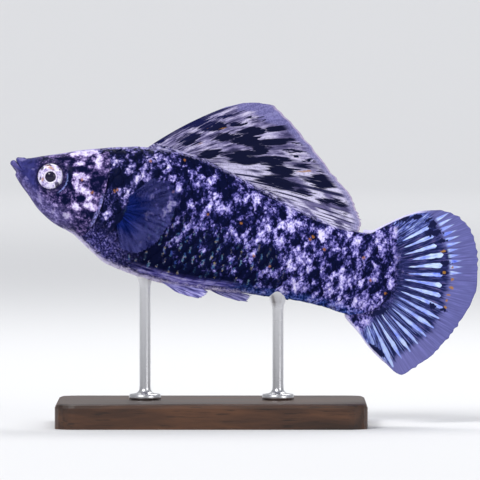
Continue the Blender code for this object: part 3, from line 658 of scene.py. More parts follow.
def tail_material():
    """The tail web: icy bars between dark rays, fanning from the tail's flesh to a plain violet margin."""
    f = Finish("tail_web", Coat_Weight=0.02, Coat_Roughness=0.3, Specular_IOR_Level=0.12,
               Specular_Tint=WEB_SHEEN)
    u, _, v = f.parts(f.fish)
    ahead, up = u - TAIL_FOCUS[0], v - TAIL_FOCUS[1]
    angle = up.maths("ARCTAN2", ahead) * (180 / math.pi)
    far = f.length(f.vector(ahead, 0, up))

    # Each bar has its own number, and the noises below change from bar to bar
    turn = angle / TAIL_BAR_STEP + (40.5 - TAIL_FIRST_BAR / TAIL_BAR_STEP)
    own = f.node("TexWhiteNoise", {"noise_dimensions": "1D"}, {"W": turn.maths("FLOOR")}, "Value")
    wobble = f.pattern(turn.maths("FLOOR") * 3.1, far * 0.30, 0, 2.0, 0.6)
    fine = f.pattern(turn * 5.0, far * 0.35, 0, 3.0, 0.6)
    lines = f.pattern(turn * 9.0, far * 0.12, 7.0, 1.0, 0.5)
    bars, below = tail_bars(f, angle, far, turn, own, fine, wobble)

    edge = 20.6 + (own - 0.5) * 1.2 - f.step(angle, -20, -50) * 0.4
    margin = f.step(far + (fine - 0.5) * 2.4, edge - 0.9, edge + 0.5)
    plain = f.ramp(lines * 0.6 + fine * 0.4, (0.36, (90, 89, 144)), (0.52, (100, 101, 160)),
                   (0.66, (116, 116, 182)))
    plain = f.mix(f.step(angle, -12, -40) * 0.3, plain, (130, 128, 190))
    web = f.mix(margin, tail_web(f, angle, fine), plain)
    slim = f.step(lines, 0.55, 0.60) * below * f.step(far, 10.0, 13.0) * f.step(far, 20.8, 18.4) * 0.55
    web = f.mix(slim, web, (132, 146, 220))
    bar_colour = f.ramp(wobble * 0.5 + fine * 0.5, (0.33, AZURE), (0.40, (120, 140, 244)),
                        (0.48, (160, 176, 244)), (0.58, ICE), (0.70, (220, 232, 255)))
    bar_colour = f.mix(below * 0.35, bar_colour, (130, 146, 230))
    web = f.mix(bars, web, bar_colour)

    # The marbled flesh runs out over the root of the fin
    flesh, grain = marbled(f, u, 0.0)
    reach = far + (grain - 0.5) * 4.0 - f.step(abs(angle + 4), 34, 62) * 2.6
    web = f.mix(f.step(reach, 11.2, 9.4), web, flesh)
    flow = f.wandering(f.fish, 0.9, 1.0)
    web = f.mix(f.step(f.nearest(flow, TAIL_DARK) + (grain - 0.5) * 2.4, 1.25, 0.85), web, (20, 24, 62))
    web = f.mix(f.step(f.nearest(flow, TAIL_AMBER), 1.2, 0.6) * 0.85, web, (168, 120, 48))
    rim = f.step(f.attribute("inset") + (fine - 0.5) * 0.7, 0.95, 0.5)
    rim = rim * (f.step(angle, 50, 56) + f.step(angle, -46, -52) * 0.8)
    rim = rim.maths("MAXIMUM", f.step(f.attribute("edge"), 0.3, 0.8) * 0.85)
    web = f.mix(rim * f.step(far, 22.0, 18.0), web, (214, 208, 246))
    f.surface(web, 0.40 + fine * 0.2)
    f.bump(fine * 0.5 + lines * 0.5, 0.35, 0.0001)
    return f.material


def on_rays(f, ray, outer, inner):
    """1 within inner of the fin's rays and 0 beyond outer, as shares of the gap between two."""
    return f.step(f.node("Math", {"operation": "PINGPONG"}, {0: ray, 1: 0.5}), outer, inner)


def breast_fin_material():
    """The hazy blue pectoral web, see-through between its rays."""
    f = Finish("hazy_web", Coat_Weight=0.0, Specular_IOR_Level=0.03, Specular_Tint=COAT_SHEEN)
    ray, along = f.attribute("ray"), f.attribute("along")
    streaks = f.pattern(ray * 3.0, along * 2.5, 0, 3.0, 0.6)
    cross = f.pattern(ray * 0.8, along * 3.0, 4.0, 2.0, 0.5)
    on_ray = on_rays(f, ray, 0.16, 0.04)
    blue = f.ramp(streaks * 0.7 + cross * 0.3, (0.38, (3, 14, 62)), (0.5, (9, 25, 88)),
                  (0.62, (28, 42, 116)))
    haze = f.ramp(streaks, (0.36, (32, 35, 90)), (0.64, (74, 76, 138)))
    web = f.mix(f.step(along + (cross - 0.5) * 0.6, 0.35, 0.80), blue, haze)
    web = f.mix(on_ray * 0.14, web, (52, 58, 120))
    clear = f.step(along, 0.15, 0.8) * 0.42 + f.step(ray, 5.5, 9.0) * 0.20
    f.surface(web, 0.62 + streaks * 0.2)
    f.set("Alpha", 0.90 - clear + on_ray * 0.06 + (streaks - 0.5) * 0.5)
    return f.material


def small_fin_material():
    """The pale folded fins under the belly."""
    f = Finish("pale_web", Coat_Weight=0.05, Coat_Roughness=0.3, Specular_IOR_Level=0.2)
    ray, along = f.attribute("ray"), f.attribute("along")
    streaks = f.pattern(ray * 2.0, along * 2.4, 0, 3.0, 0.6)
    on_ray = on_rays(f, ray, 0.2, 0.06)
    web = f.ramp(streaks, (0.38, (44, 42, 96)), (0.48, (96, 92, 160)), (0.56, (152, 146, 206)),
                 (0.66, (206, 204, 240)))
    web = f.mix(on_ray * 0.4, web, (160, 160, 222))
    f.surface(web, 0.38 + streaks * 0.1)
    f.bump(streaks + on_ray * 0.5, 0.3, 0.0001)
    return f.material


# Marks of the iris
IRIS_GOLD = ((7.6, 1.45, 1.2, 0.35, -12), (6.9, -1.3, 0.3, 0.5, 0))
IRIS_DARK = (
    (6.1, 0.9, 0.35, 0.6, 20), (7.3, 1.8, 0.6, 0.16, 10), (10.05, -1.6, 0.85, 0.5, -45),
    (6.4, -1.3, 0.2, 0.35, 10), (9.6, 1.5, 0.2, 0.2, 0))


def eye_material():
    """A pearly iris with a few smudges, round a dark pupil with a thin bright ring."""
    f = Finish("pearly_eye", Coat_Weight=0.5, Coat_Roughness=0.03, Specular_IOR_Level=0.1)
    u, _, v = f.parts(f.fish)
    across, up = u - EYE_U, v - EYE_V
    far = f.length(f.vector(across, 0, up))
    mottle = f.noise(f.fish, 1.2, 3.0, 0.65)
    fibres = f.pattern(up.maths("ARCTAN2", across) * 5.0, far * 1.2, 0, 2.0, 0.5)
    iris = f.ramp(mottle * 0.7 + fibres * 0.3, (0.38, (120, 104, 158)), (0.45, (190, 178, 226)),
                  (0.52, (226, 218, 246)), (0.62, (246, 242, 255)))
    gold = f.step(f.nearest(f.fish, IRIS_GOLD), 1.2, 0.4)
    iris = f.mix(gold * 0.7, iris, (196, 152, 110))
    smudge = f.step(f.nearest(f.wandering(f.fish, 1.6, 0.5), IRIS_DARK), 1.2, 0.7)
    iris = f.mix(smudge * 0.9, iris, (36, 29, 66))
    iris = f.mix(f.step(abs(far - EYE_RING_RADIUS), 0.12, 0.04), iris, (232, 222, 240))
    iris = f.mix(f.step(abs(far - EYE_RING_RADIUS - 0.22), 0.14, 0.05) * 0.35, iris, (120, 100, 150))
    iris = f.mix(f.step(far, PUPIL_RADIUS + 0.05, PUPIL_RADIUS - 0.05), iris, (20, 17, 46))
    iris = f.mix(f.step(far, IRIS_RADIUS - 0.07, IRIS_RADIUS + 0.07), iris, (24, 20, 54))
    f.surface(iris, 0.24 + f.step(far, 1.0, 1.2) * 0.14)
    f.set("Metallic", f.step(far, 1.04, 1.3) * 0.12)
    return f.material


def wood_material():
    """Dark oiled hardwood for the base."""
    f = Finish("dark_wood", Coat_Weight=0.16, Coat_Roughness=0.42, Specular_IOR_Level=0.35)
    lay = f.node("Mapping", None, {"Vector": f.wandering(f.place, 30.0, 0.004), "Scale": (26, 330, 260)})
    grain = f.noise(lay, 1.0, 5.0, 0.6)
    pores = f.noise(f.node("Mapping", None, {"Vector": f.place, "Scale": (160, 2600, 2600)}), 1.0, 2.0, 0.5)
    wood = f.ramp(grain, (0.32, (34, 21, 14)), (0.5, (62, 38, 25)), (0.66, (88, 56, 36)))
    wood = f.mix(f.step(pores, 0.42, 0.34) * 0.6, wood, (20, 12, 8))
    f.surface(wood, 0.42 + grain * 0.2)
    f.bump(pores * 0.6 + grain * 0.4, 0.25, 0.0002)
    return f.material


def steel_material():
    """Steel turned on a lathe, with fine rings round it."""
    f = Finish("turned_steel", Base_Color=(0.60, 0.60, 0.62, 1), Metallic=1.0)
    rings = f.noise(f.node("Mapping", None, {"Vector": f.place, "Scale": (60, 60, 9000)}), 1.0, 2.0, 0.5)
    f.set("Roughness", 0.22 + rings * 0.16)
    f.bump(rings, 0.15, 0.00005)
    return f.material


def stage_material():
    f = Finish("pale_paper", Base_Color=(0.80, 0.80, 0.81, 1), Roughness=0.9, Specular_IOR_Level=0.2)
    return f.material


# The skin

TURNS, LIP_ROWS, HEAD_ROWS, TRUNK_ROWS = 192, 3, 96, 116
ORBIT_MARKS = ((12.4, 3), (13.3, 0.4), (13, -3), (11.4, -5.9), (9, -7.2))
JAW_GROOVE = ((3.3, -1.6), (5.2, -3.4), (8.6, -5.4), (10.2, -6.9))
NOSTRIL = (4.6, 0.2)
LIP_ANGLES = (-78, -45, -10, 25, 60)
# Marks of the mouth's rows: below 0 inside the mouth, where the shade is painted, up to 1 on the lips and 0
# behind them
LIP_MARKS = (-1.0, -0.8, 0.2, 0.8, 1.0, 1.0, 0.8, 0.5, 0.3, 0.1, 0.0)

# Two rows behind the lips: where each crosses the upper and lower jaw, its corner and its reach
BEHIND_LIPS = ((1.66, 1.64), (1.32, -1.55), (3.0, -0.8), 3.24)
ON_SNOUT = ((2.10, 1.76), (1.34, -2.15), (3.35, -0.72), 3.36)

# How the skin turns in behind the gill cover: steps back, and lifts, which are below 0 inwards
GILL_LIP = ((0.07, -0.03), (0.02, -0.2), (-0.35, -0.42), (-0.1, -0.5))


def mouth_rows(turn):
    """Rows of the skin from inside the mouth out over the lips to the snout."""
    up, side = np.sin(turn), np.cos(turn)
    front = np.abs(up)
    sign = np.sign(np.where(front < 1e-6, 0, up))

    def horseshoe(upper, lower, corner, reach):
        ends = np.where((up >= 0)[:, None], upper, lower)
        u = corner[0] + (ends[:, 0] - corner[0]) * front
        v = corner[1] + (ends[:, 1] - corner[1]) * front
        return np.stack((u, reach * side, v), axis=-1)

    fall = np.array((MOUTH_CORNER[0] - MOUTH_FRONT[0], 0, MOUTH_CORNER[1] - MOUTH_FRONT[1]))
    fall /= np.linalg.norm(fall)
    rise = np.array((-fall[2], 0, fall[0]))
    slit = horseshoe(MOUTH_FRONT, MOUTH_FRONT, MOUTH_CORNER, MOUTH_SIDE)
    outward = -fall * front[:, None] + np.array((0, 1, 0)) * side[:, None]
    outward /= np.linalg.norm(outward, axis=1)[:, None]
    radius = np.where(up > 0, UPPER_LIP * front ** 1.1, LOWER_LIP * front ** 0.8)
    centre = slit + rise * (sign * (radius + 0.05 * front))[:, None]
    parting = rise * (sign * 0.06 * front)[:, None]
    rows = [slit + fall * (0.7 * front)[:, None], slit + fall * (0.4 * front)[:, None] + parting]
    for degrees in LIP_ANGLES:
        along = radius * math.cos(math.radians(degrees))
        off = radius * math.sin(math.radians(degrees)) * sign
        rows.append(centre + outward * along[:, None] + rise * off[:, None])
    lip, behind = rows[-1], horseshoe(*BEHIND_LIPS)
    rows += [lip + (behind - lip) * share for share in (0.34, 0.68)]
    rows += [behind, horseshoe(*ON_SNOUT)]
    return rows


def spline_rows(rows, marks, fine):
    """Catmull-Rom rows between the given ones."""
    rows, out, kept = np.array(rows), [], []
    for i in range(len(rows) - 1):
        a, b, c, d = rows[max(i - 1, 0)], rows[i], rows[i + 1], rows[min(i + 2, len(rows) - 1)]
        for k in range(fine):
            t = k / fine
            out.append(0.5 * (2 * b + (c - a) * t + (2 * a - 5 * b + 4 * c - d) * t * t
                              + (3 * b - a - 3 * c + d) * t ** 3))
            kept.append(marks[i] * (1 - t) + marks[i + 1] * t)
    return out, kept


def distance_to_line(u, v, line):
    """Distance in the side view to a line through points."""
    points = np.array(line, float)
    least = np.full(u.shape, 1e9)
    for a, b in zip(points, points[1:]):
        along = b - a
        t = np.clip(((u - a[0]) * along[0] + (v - a[1]) * along[1]) / (along @ along), 0, 1)
        least = np.minimum(least, np.hypot(u - a[0] - t * along[0], v - a[1] - t * along[1]))
    return least


def mound(away, width):
    """1 where away is 0, falling off smoothly to both sides."""
    return np.exp(-(away / width) ** 2)


def head_relief(points):
    """How far the skin of the head stands out or in, in millimetres."""
    u, v = points[..., 0], points[..., 2]
    eye = np.hypot(u - EYE_U, v - EYE_V)
    relief = 0.16 * mound(eye - 2.95, 0.32) - 0.10 * mound(eye - 3.75, 0.30)
    relief -= 1.5 * smooth(eye, 2.62, 2.2)
    cheek = distance_to_line(u, v, ORBIT_MARKS)
    relief += (0.05 * mound(cheek - 0.5, 0.4) - 0.09 * mound(cheek, 0.2)) * smooth(v, 2.2, 0.6)
    relief -= 0.07 * mound(distance_to_line(u, v, JAW_GROOVE), 0.22)
    # Low ridges fan back over the gill cover
    for ridge in range(5):
        end = (18.6 - 0.35 * ridge, 1.6 - 1.9 * ridge)
        relief += 0.035 * mound(distance_to_line(u, v, ((14.6, 1.8), end)), 0.25)
    nostril = np.hypot(u - NOSTRIL[0], v - NOSTRIL[1])
    relief += 0.07 * mound(nostril - 0.36, 0.14) - 0.30 * mound(nostril, 0.18)
    return relief * smooth(np.abs(points[..., 1]), 0.8, 1.8)


def skin():
    """One skin over the head, trunk and tail, with lips, nostrils, orbits and gill covers."""
    turn = np.linspace(0, 2 * math.pi, TURNS + 1)
    turn[-1] = 0.0
    first_u = np.where(np.sin(turn) > 0, 2.45, 2.35) + 1.35 * np.abs(np.cos(turn)) ** 1.5
    gill, flap, end = gill_line(turn), gill_flap(turn), tail_line(turn)
    shares = np.linspace(0, 1, HEAD_ROWS)
    heads = [trunk(first_u * (1 - share) + gill * share, turn) for share in shares]
    control = mouth_rows(turn) + [heads[0], heads[2]]
    rows, lips = spline_rows(control, (*LIP_MARKS, 0.0, 0.0), LIP_ROWS)
    rows, lips = rows[:-LIP_ROWS], lips[:-LIP_ROWS]
    for share, row in zip(shares, heads):
        ahead = np.maximum(row[:, 0] - 0.05, 1.0)
        out = trunk(ahead, turn, 0.1) - trunk(ahead, turn)
        out /= np.maximum(np.linalg.norm(out, axis=1), 1e-6)[:, None]
        rim = 0.10 * mound((1 - share) * (gill - first_u), 0.5) * flap
        rows.append(row + out * (head_relief(row) + rim)[:, None])
    head_rows = len(rows)
    for back_step, depth in GILL_LIP:
        rows.append(trunk(gill + back_step * flap, turn, depth * flap))
    for share in np.linspace(0, 1, TRUNK_ROWS):
        u = (gill + 0.25 * flap) * (1 - share) + end * share
        thin = COAT_DEPTH * (1 - smooth(share, 0.96, 1.0))
        rows.append(trunk(u, turn, -thin - gill_pinch(u, turn)))

    points = np.array(rows)
    shape = points.shape[:2]
    face, lip = np.zeros(shape), np.zeros(shape)
    face[:head_rows + 3] = 1.0
    lip[:len(lips)] = np.array(lips)[:, None]
    marks = {"height": np.tile(np.sin(turn), (shape[0], 1)), "face": face, "lip": lip,
             "gill_gap": np.clip(gill[None, :] - points[..., 0], -1, 9),
             "single": np.full(shape, 0.5), "rim": np.zeros(shape), "across": np.full(shape, 5.0)}
    return lay_grid("skin", points, marks)


# The scales

SCALE_PITCH_U, SCALE_PITCH_S = 1.06, 1.86
SCALE_LENGTH, SCALE_WIDTH, SCALE_ROOT = 3.3, 1.95, -1.25
FIRST_SCALE_U, LAST_SCALE_U = 11.0, 80.0


class FlankMap:
    """Turns a height along the skin, measured from the middle of the side, into a turn round the trunk."""

    def __init__(self):
        self.places = np.arange(8.0, 82.01, 0.5)
        self.turns = np.linspace(0, math.pi / 2, 61)
        self.up = self.table(1)
        self.down = self.table(-1)

    def table(self, sign):
        rows = []
        for u in self.places:
            points = trunk(np.full(len(self.turns), u), sign * self.turns)
            rows.append(np.concatenate(([0], np.cumsum(np.linalg.norm(np.diff(points, axis=0), axis=1)))))
        return np.array(rows)

    def reach(self, u, sign):
        table = self.up if sign > 0 else self.down
        return float(np.interp(u, self.places, table[:, -1]))

    def turn(self, u, s):
        """The turn for each place, folded back at the crest and keel. Also whether it crossed over."""
        i = np.clip(((u - self.places[0]) / 0.5).astype(int), 0, len(self.places) - 2)
        t = np.clip((u - self.places[i]) / 0.5, 0, 1)
        out = np.zeros(u.shape)
        crossed = np.zeros(u.shape, bool)
        for k in range(u.size):
            table = self.up if s.flat[k] >= 0 else self.down
            row = table[i.flat[k]] * (1 - t.flat[k]) + table[i.flat[k] + 1] * t.flat[k]
            away = abs(s.flat[k])
            if away > row[-1]:
                crossed.flat[k] = True
                away = max(0.0, 2 * row[-1] - away)
            out.flat[k] = math.copysign(np.interp(away, row, self.turns), s.flat[k])
        return out, crossed


def scale_template():
    """One thin plate: its points across (-1 to 1), along (0 to 1) and up (0 or 1), and its faces."""
    bm = bmesh.new()
    bmesh.ops.create_grid(bm, x_segments=6, y_segments=5, size=1.0)
    bmesh.ops.solidify(bm, geom=bm.faces, thickness=1.0)
    bmesh.ops.recalc_face_normals(bm, faces=bm.faces)
    bm.verts.ensure_lookup_table()
    low = min(v.co.z for v in bm.verts)
    high = max(v.co.z for v in bm.verts)
    places = np.array([(v.co.x, (v.co.y + 1) / 2, (v.co.z - low) / (high - low)) for v in bm.verts])
    faces = [[v.index for v in f.verts] for f in bm.faces]
    bm.free()
    return places, faces


def scale_places(flank):
    """The u, the height along the skin and the turn of every scale, in rows from the gill cover back."""
    column, u = 0, FIRST_SCALE_U
    while u < LAST_SCALE_U:
        for row in range(-11, 12):
            s = row * SCALE_PITCH_S
            if (row + column) % 2 or abs(s) > flank.reach(u, row) - 0.35 * SCALE_PITCH_S:
                continue
            turn = float(flank.turn(np.array([u]), np.array([s]))[0][0])
            # The rows reach further forward over the nape
            start = gill_line(np.array(turn)) - 1.0 - 1.6 * smooth(turn, 1.0, 1.3)
            if start <= u <= tail_line(np.array(turn)) - 1.0:
                yield u, s, turn
        column += 1
        u += SCALE_PITCH_U


def scale_coat(side, name, flank, rng):
    """The scales of one side as one mesh, with a place in the baked picture for each."""
    template, faces = scale_template()
    across, along, top = template.T
    shape_u = SCALE_ROOT + SCALE_LENGTH * along * (1 - 0.36 * across ** 2)
    shape_s = SCALE_WIDTH * across * (0.70 + 0.30 * np.sin(math.pi * np.minimum(along * 0.8 + 0.1, 1)))
    points, corners, maps = [], [], []
    marks = {"single": [], "rim": [], "across": [], "height": []}
    for u0, s0, turn0 in scale_places(flank):
        size = 1.0 if u0 < 68 else 0.85
        u = u0 + shape_u * size + rng.uniform(-0.06, 0.06)
        s = s0 + shape_s * size + rng.uniform(-0.06, 0.06)
        u = np.maximum(u, 8.0)
        turns, crossed = flank.turn(u, s)
        lift = 0.02 + 0.15 * along ** 1.2 * (1 - 0.45 * across ** 2) + 0.05 * (1 - across ** 2)
        lift = lift * (1 - 0.35 * smooth(u0, 70, 79)) + rng.uniform(-0.012, 0.02) - (1 - top) * 0.05
        body = trunk(u, turns, lift - COAT_DEPTH - gill_pinch(u, turns))
        body[:, 1] *= np.where(crossed, -side, side)
        first = len(points) * len(template)
        points.append(body)
        corners += [[first + i for i in (face if side > 0 else face[::-1])] for face in faces]
        marks["single"].append(np.full(len(u), rng.random()))
        marks["rim"].append(along * (1 - 0.1 * across ** 2))
        marks["across"].append(across)
        marks["height"].append(np.sin(turns))
        patch = np.where(top > 0.5, 0.019, 0.003)
        place = np.array((u0 / 84, (turn0 / math.pi + 0.5) * 0.48 + (0.01 if side < 0 else 0.51)))
        maps.append(place + np.stack(((along - 0.5) * patch, across * 0.5 * patch), axis=-1))
    mesh = bpy.data.meshes.new(name)
    mesh.from_pydata(placed(np.concatenate(points)), [], corners)
    for key, values in marks.items():
        mesh.attributes.new(key, "FLOAT", "POINT").data.foreach_set("value", np.concatenate(values))
    index = np.zeros(len(mesh.loops), int)
    mesh.loops.foreach_get("vertex_index", index)
    mesh.uv_layers.new(name="OFBake").data.foreach_set("uv", np.concatenate(maps)[index].ravel())
    return mesh


# Fins

def ray_thickness(across, along, rays, web, ridge, tip):
    """The fin's thickness: a ridge on each ray, which splits in two and again in four, and a thin hem."""
    off_ray = np.abs(across * (rays - 1) - np.round(across * (rays - 1)))
    off_half = np.abs(off_ray - 0.24 * smooth(along, 0.35, 0.95))
    off_quarter = np.abs(off_half - 0.11 * smooth(along, 0.65, 1.0))
    ridges = mound(off_half, 0.10 - 0.03 * along)
    ridges = np.maximum(ridges, mound(off_quarter, 0.06) * smooth(along, 0.6, 0.8))
    thickness = web + (ridge - web) * ridges * (1 - 0.75 * along)
    hem = smooth(along, 0.93, 1.0)
    return thickness * (1 - hem) + tip * hem


def fin_sheet(name, rays, at, material, stands_for, columns_per_ray=12, rows=70, web=0.13, ridge=0.34,
              tip=0.09, sway=None, nicks=0.02, turn=None):
    """A finely rayed fin with a nicked hem. at(across, along) gives its middle surface."""
    across = np.linspace(0, 1, (rays - 1) * columns_per_ray + 1)
    ray = across * (rays - 1)
    rng = np.random.default_rng(7)
    ends = 1 + (rng.random(4 * rays) - 0.5) * nicks
    reach = np.interp(ray * 4, np.arange(4 * rays), ends)
    reach = reach + nicks * (np.cos(2 * math.pi * ray * 2) - 1) * 0.18
    A, B = np.meshgrid(across, np.linspace(0, 1, rows + 1))
    points = at(A, B * (1 - (1 - reach)[None, :] * smooth(B, 0.5, 1.0)))
    if sway:
        points[..., 1] += sway(A, B)
    edge = np.maximum(smooth(A, 0.02, 0.006), smooth(A, 0.98, 0.994))
    inset = np.linalg.norm(points - points[-1], axis=-1)
    marks = {"ray": A * (rays - 1), "along": B, "edge": edge, "inset": inset,
             "thick": ray_thickness(A, B, rays, web, ridge, tip)}
    mesh = lay_grid(name, turn(points) if turn else points, marks)
    piece = finish_piece(name, mesh, material, stands_for)
    thick = np.zeros(len(mesh.vertices))
    mesh.attributes["thick"].data.foreach_get("value", thick)
    thickest = float(thick.max())
    group = piece.vertex_groups.new(name="thickness")
    for index, value in enumerate(thick):
        group.add([index], float(value) / thickest, "REPLACE")
    solid = piece.modifiers.new("Thickness", "SOLIDIFY")
    solid.thickness, solid.offset = thickest * MM, 0.0
    solid.vertex_group, solid.thickness_vertex_group = "thickness", 0.0


SAIL_RAYS, CAUDAL_RAYS, PECTORAL_RAYS, PELVIC_RAYS, GONOPODIUM_RAYS = 16, 24, 13, 6, 5
SAIL_FIRST_U, SAIL_LAST_U = 24.6, 60.0
SAIL_OUTLINE = (
    (38, 22.8), (42.6, 25.1), (46.4, 25.7), (50.6, 24), (56.2, 20.1), (62, 16.1), (66.3, 13.2), (69, 10.2),
    (70.4, 8), (70.5, 6.1))
SAIL_CROWDING, SAIL_BOW = 1.9, 0.032


def sail_at(across, along):
    """The sail's middle surface: bowed rays, closer together at the rear."""
    root_u = SAIL_FIRST_U + (SAIL_LAST_U - SAIL_FIRST_U) * across
    root = np.stack((root_u, 0 * root_u, back(root_u) - 0.6), axis=-1)
    tip_u, tip_v = line_through(SAIL_OUTLINE)(1 - (1 - across) ** SAIL_CROWDING)
    tip = np.stack((tip_u, 0 * tip_u, tip_v), axis=-1)
    ray = tip - root
    bow = np.stack((-ray[..., 2], 0 * tip_u, ray[..., 0]), axis=-1)
    bowed = SAIL_BOW * (1 - across) * 4 * along * (1 - along)
    point = root + ray * along[..., None] + bow * bowed[..., None]
    crest = back(point[..., 0])
    point[..., 2] = np.maximum(point[..., 2], crest + np.minimum(-0.1, 4 * along - 0.6))
    # The last rays lie down on the back
    point[..., 2] += (crest - 0.15 - point[..., 2]) * smooth(across, 0.93, 1.0) * smooth(along, 0.0, 0.1)
    return point


CAUDAL_SPREAD = (-77.0, 84.0)
CAUDAL_REACH = (
    (-78, 8.9), (-63.4, 12.7), (-57.5, 16.3), (-51.7, 19.9), (-46, 23.6), (-36, 23.8), (-24, 24.1),
    (-5, 25), (8, 26.1), (24, 26.2), (34, 26.1), (40, 25.2), (46, 23.5), (55, 19), (61, 15.2), (66, 12.3),
    (74, 9.5), (86, 8.7))
# The fin starts inside the flesh, on an oval round the focus
CAUDAL_ROOT_LENGTH, CAUDAL_ROOT_UP, CAUDAL_ROOT_DOWN = 4.8, 6.4, 7.4


def fanned(angle, far):
    """Points in the side plane at an angle in degrees and a distance."""
    angle = np.radians(angle)
    return np.stack((far * np.cos(angle), 0 * far, far * np.sin(angle)), axis=-1)


def tail_at(across, along):
    """The tail fin's middle surface, fanned round its focus."""
    angle = CAUDAL_SPREAD[0] + (CAUDAL_SPREAD[1] - CAUDAL_SPREAD[0]) * across
    height = np.where(angle > 0, CAUDAL_ROOT_UP, CAUDAL_ROOT_DOWN)
    root = 1 / np.hypot(np.cos(np.radians(angle)) / CAUDAL_ROOT_LENGTH, np.sin(np.radians(angle)) / height)
    far = root + (stations(CAUDAL_REACH)(angle) - root) * along
    return fanned(angle, far) + np.array((TAIL_FOCUS[0], 0, TAIL_FOCUS[1]))


def fan_at(spread, reaches, first=0.4):
    """The middle surface of a small fin, fanned round its root."""
    reach = stations(reaches)

    def at(across, along):
        angle = spread[0] + (spread[1] - spread[0]) * across
        return fanned(angle, first + (reach(angle) - first) * along)

    return at


def hung(root, side, lean, splay):
    """Leans a fin's plane outwards, splays it from the flank and moves it to its root."""
    turned = np.array(Matrix.Rotation(math.radians(side * splay), 3, "Z")
                      @ Matrix.Rotation(math.radians(side * lean), 3, "X"))
    return lambda points: points @ turned.T + np.array(root)


PECTORAL_ROOT, PECTORAL_SPREAD = (22.2, -2.9), (-62.0, 54.0)
PECTORAL_REACH = (
    (-62, 8), (-40, 10.6), (-16, 11.6), (8, 12.6), (28, 13.8), (42, 12.2), (54, 9.6))
PELVIC_ROOT, PELVIC_SPREAD = (34.8, -14.1), (-22.0, 8.0)
PELVIC_REACH = ((-22, 4), (-18, 5.4), (-12, 7.8), (-7, 9.4), (-1, 9.9), (8, 8.6))
GONOPODIUM_ROOT, GONOPODIUM_SPREAD = (41.0, -12.5), (-11.0, 2.5)
GONOPODIUM_REACH = ((-11, 5.8), (-9, 8.2), (-7, 10.4), (-4, 11.9), (-0.5, 12.4), (2.5, 12.1))


def sail_sway(across, along):
    return 0.30 * along * np.sin(2 * math.pi * (1.7 * across + 0.35 * along)) * (1 - 0.4 * along)


def tail_sway(across, along):
    return 0.5 * along * along * np.sin(2 * math.pi * (1.3 * across + 0.15))


def make_fins():
    fin_sheet("dorsal_web", SAIL_RAYS, sail_at, sail_material(), ("dorsal_fin",), sway=sail_sway)
    fin_sheet("caudal_web", CAUDAL_RAYS, tail_at, tail_material(), ("caudal_fin",), columns_per_ray=10,
              rows=76, sway=tail_sway, nicks=0.016)
    hazy, pale = breast_fin_material(), small_fin_material()
    breast, belly_fin = fan_at(PECTORAL_SPREAD, PECTORAL_REACH), fan_at(PELVIC_SPREAD, PELVIC_REACH)
    breast_out = float(side_of_trunk(*PECTORAL_ROOT)) - 0.9
    for side, word in ((-1, "left"), (1, "right")):
        fin_sheet("pectoral_web_" + word, PECTORAL_RAYS, breast, hazy, ("pectoral_fin_" + word,),
                  columns_per_ray=10, rows=40, web=0.08, ridge=0.15, tip=0.06, nicks=0.03,
                  sway=lambda across, along: 0.5 * along * along * np.cos(math.pi * across) * side,
                  turn=hung((PECTORAL_ROOT[0], side * breast_out, PECTORAL_ROOT[1]), side, 0, 21))
        fin_sheet("pelvic_web_" + word, PELVIC_RAYS, belly_fin, pale, ("pelvic_fin_" + word,),
                  columns_per_ray=10, rows=34, web=0.10, ridge=0.3, tip=0.07, nicks=0.08,
                  turn=hung((PELVIC_ROOT[0], side * 1.7, PELVIC_ROOT[1]), side, 30, 3))
    fin_sheet("gonopodium_rod", GONOPODIUM_RAYS, fan_at(GONOPODIUM_SPREAD, GONOPODIUM_REACH), pale,
              ("gonopodium",), columns_per_ray=10, rows=40, web=0.16, ridge=0.45, tip=0.08, nicks=0.08,
              turn=hung((GONOPODIUM_ROOT[0], 0, GONOPODIUM_ROOT[1]), 1, 0, 0))


# Eyes and stand

EYE_PROFILE = (
    (0, 0.56), (0.3, 0.535), (0.6, 0.46), (0.85, 0.345), (0.98, 0.25), (1.04, 0.2), (1.12, 0.26),
    (1.24, 0.29), (1.36, 0.25), (1.6, 0.2), (1.9, 0.13), (2.2, 0.02), (2.42, -0.12), (2.56, -0.3),
    (2.64, -0.6), (2.55, -1.1), (2.1, -1.9), (1.2, -2.4), (0, -2.6))


def eye(side, name, material):
    """An eyeball with a low iris, a raised ring round the pupil and a domed lens."""
    bm = spin_profile(EYE_PROFILE, 48)
    out = float(side_of_trunk(EYE_U, EYE_V)) + EYE_STANDS_OUT - EYE_PROFILE[0][1]
    facing = Matrix.Rotation(-side * math.pi / 2, 4, "X")
    turned = Matrix.Rotation(side * EYE_TURN, 4, "Z")
    place = Matrix.Translation((EYE_U, side * out, EYE_V)) @ turned @ facing
    bmesh.ops.transform(bm, matrix=place, verts=bm.verts)
    bmesh.ops.transform(bm, matrix=Matrix(FISH.tolist()), verts=bm.verts)
    bmesh.ops.recalc_face_normals(bm, faces=bm.faces)
    finish_piece("eyeball_" + name, as_mesh(bm, "eyeball_" + name), material, ("eye_" + name,))


ROD_PROFILE = (
    (0, 0), (0.9, 0), (1.5, -0.25), (1.95, -0.6), (2.1, -1.1), (2.06, -1.8), (1.85, -2.7), (1.5, -3.7),
    (1.2, -4.7), (1.1, -5.6))
ROD_FOOT = (
    (1.1, 2.4), (1.16, 1.9), (1.4, 1.45), (1.8, 1.2), (2.7, 1.1), (3.02, 1), (3.16, 0.75), (3.2, 0.4),
    (3.2, 0), (0, 0))
BASE_TOP = 5.15


def rod(x, top_z, name, material):
    """A turned rod: its saddle reaches just into the belly and its foot stands on the base."""
    profile = [(r, top_z + z) for r, z in ROD_PROFILE] + [(r, BASE_TOP + z) for r, z in ROD_FOOT]
    bm = spin_profile(profile, 64)
    bmesh.ops.scale(bm, vec=(MM, MM, MM), verts=bm.verts)
    bmesh.ops.translate(bm, vec=(x * MM, 0, 0), verts=bm.verts)
    finish_piece(name + "_turned", as_mesh(bm, name), material, (name,))


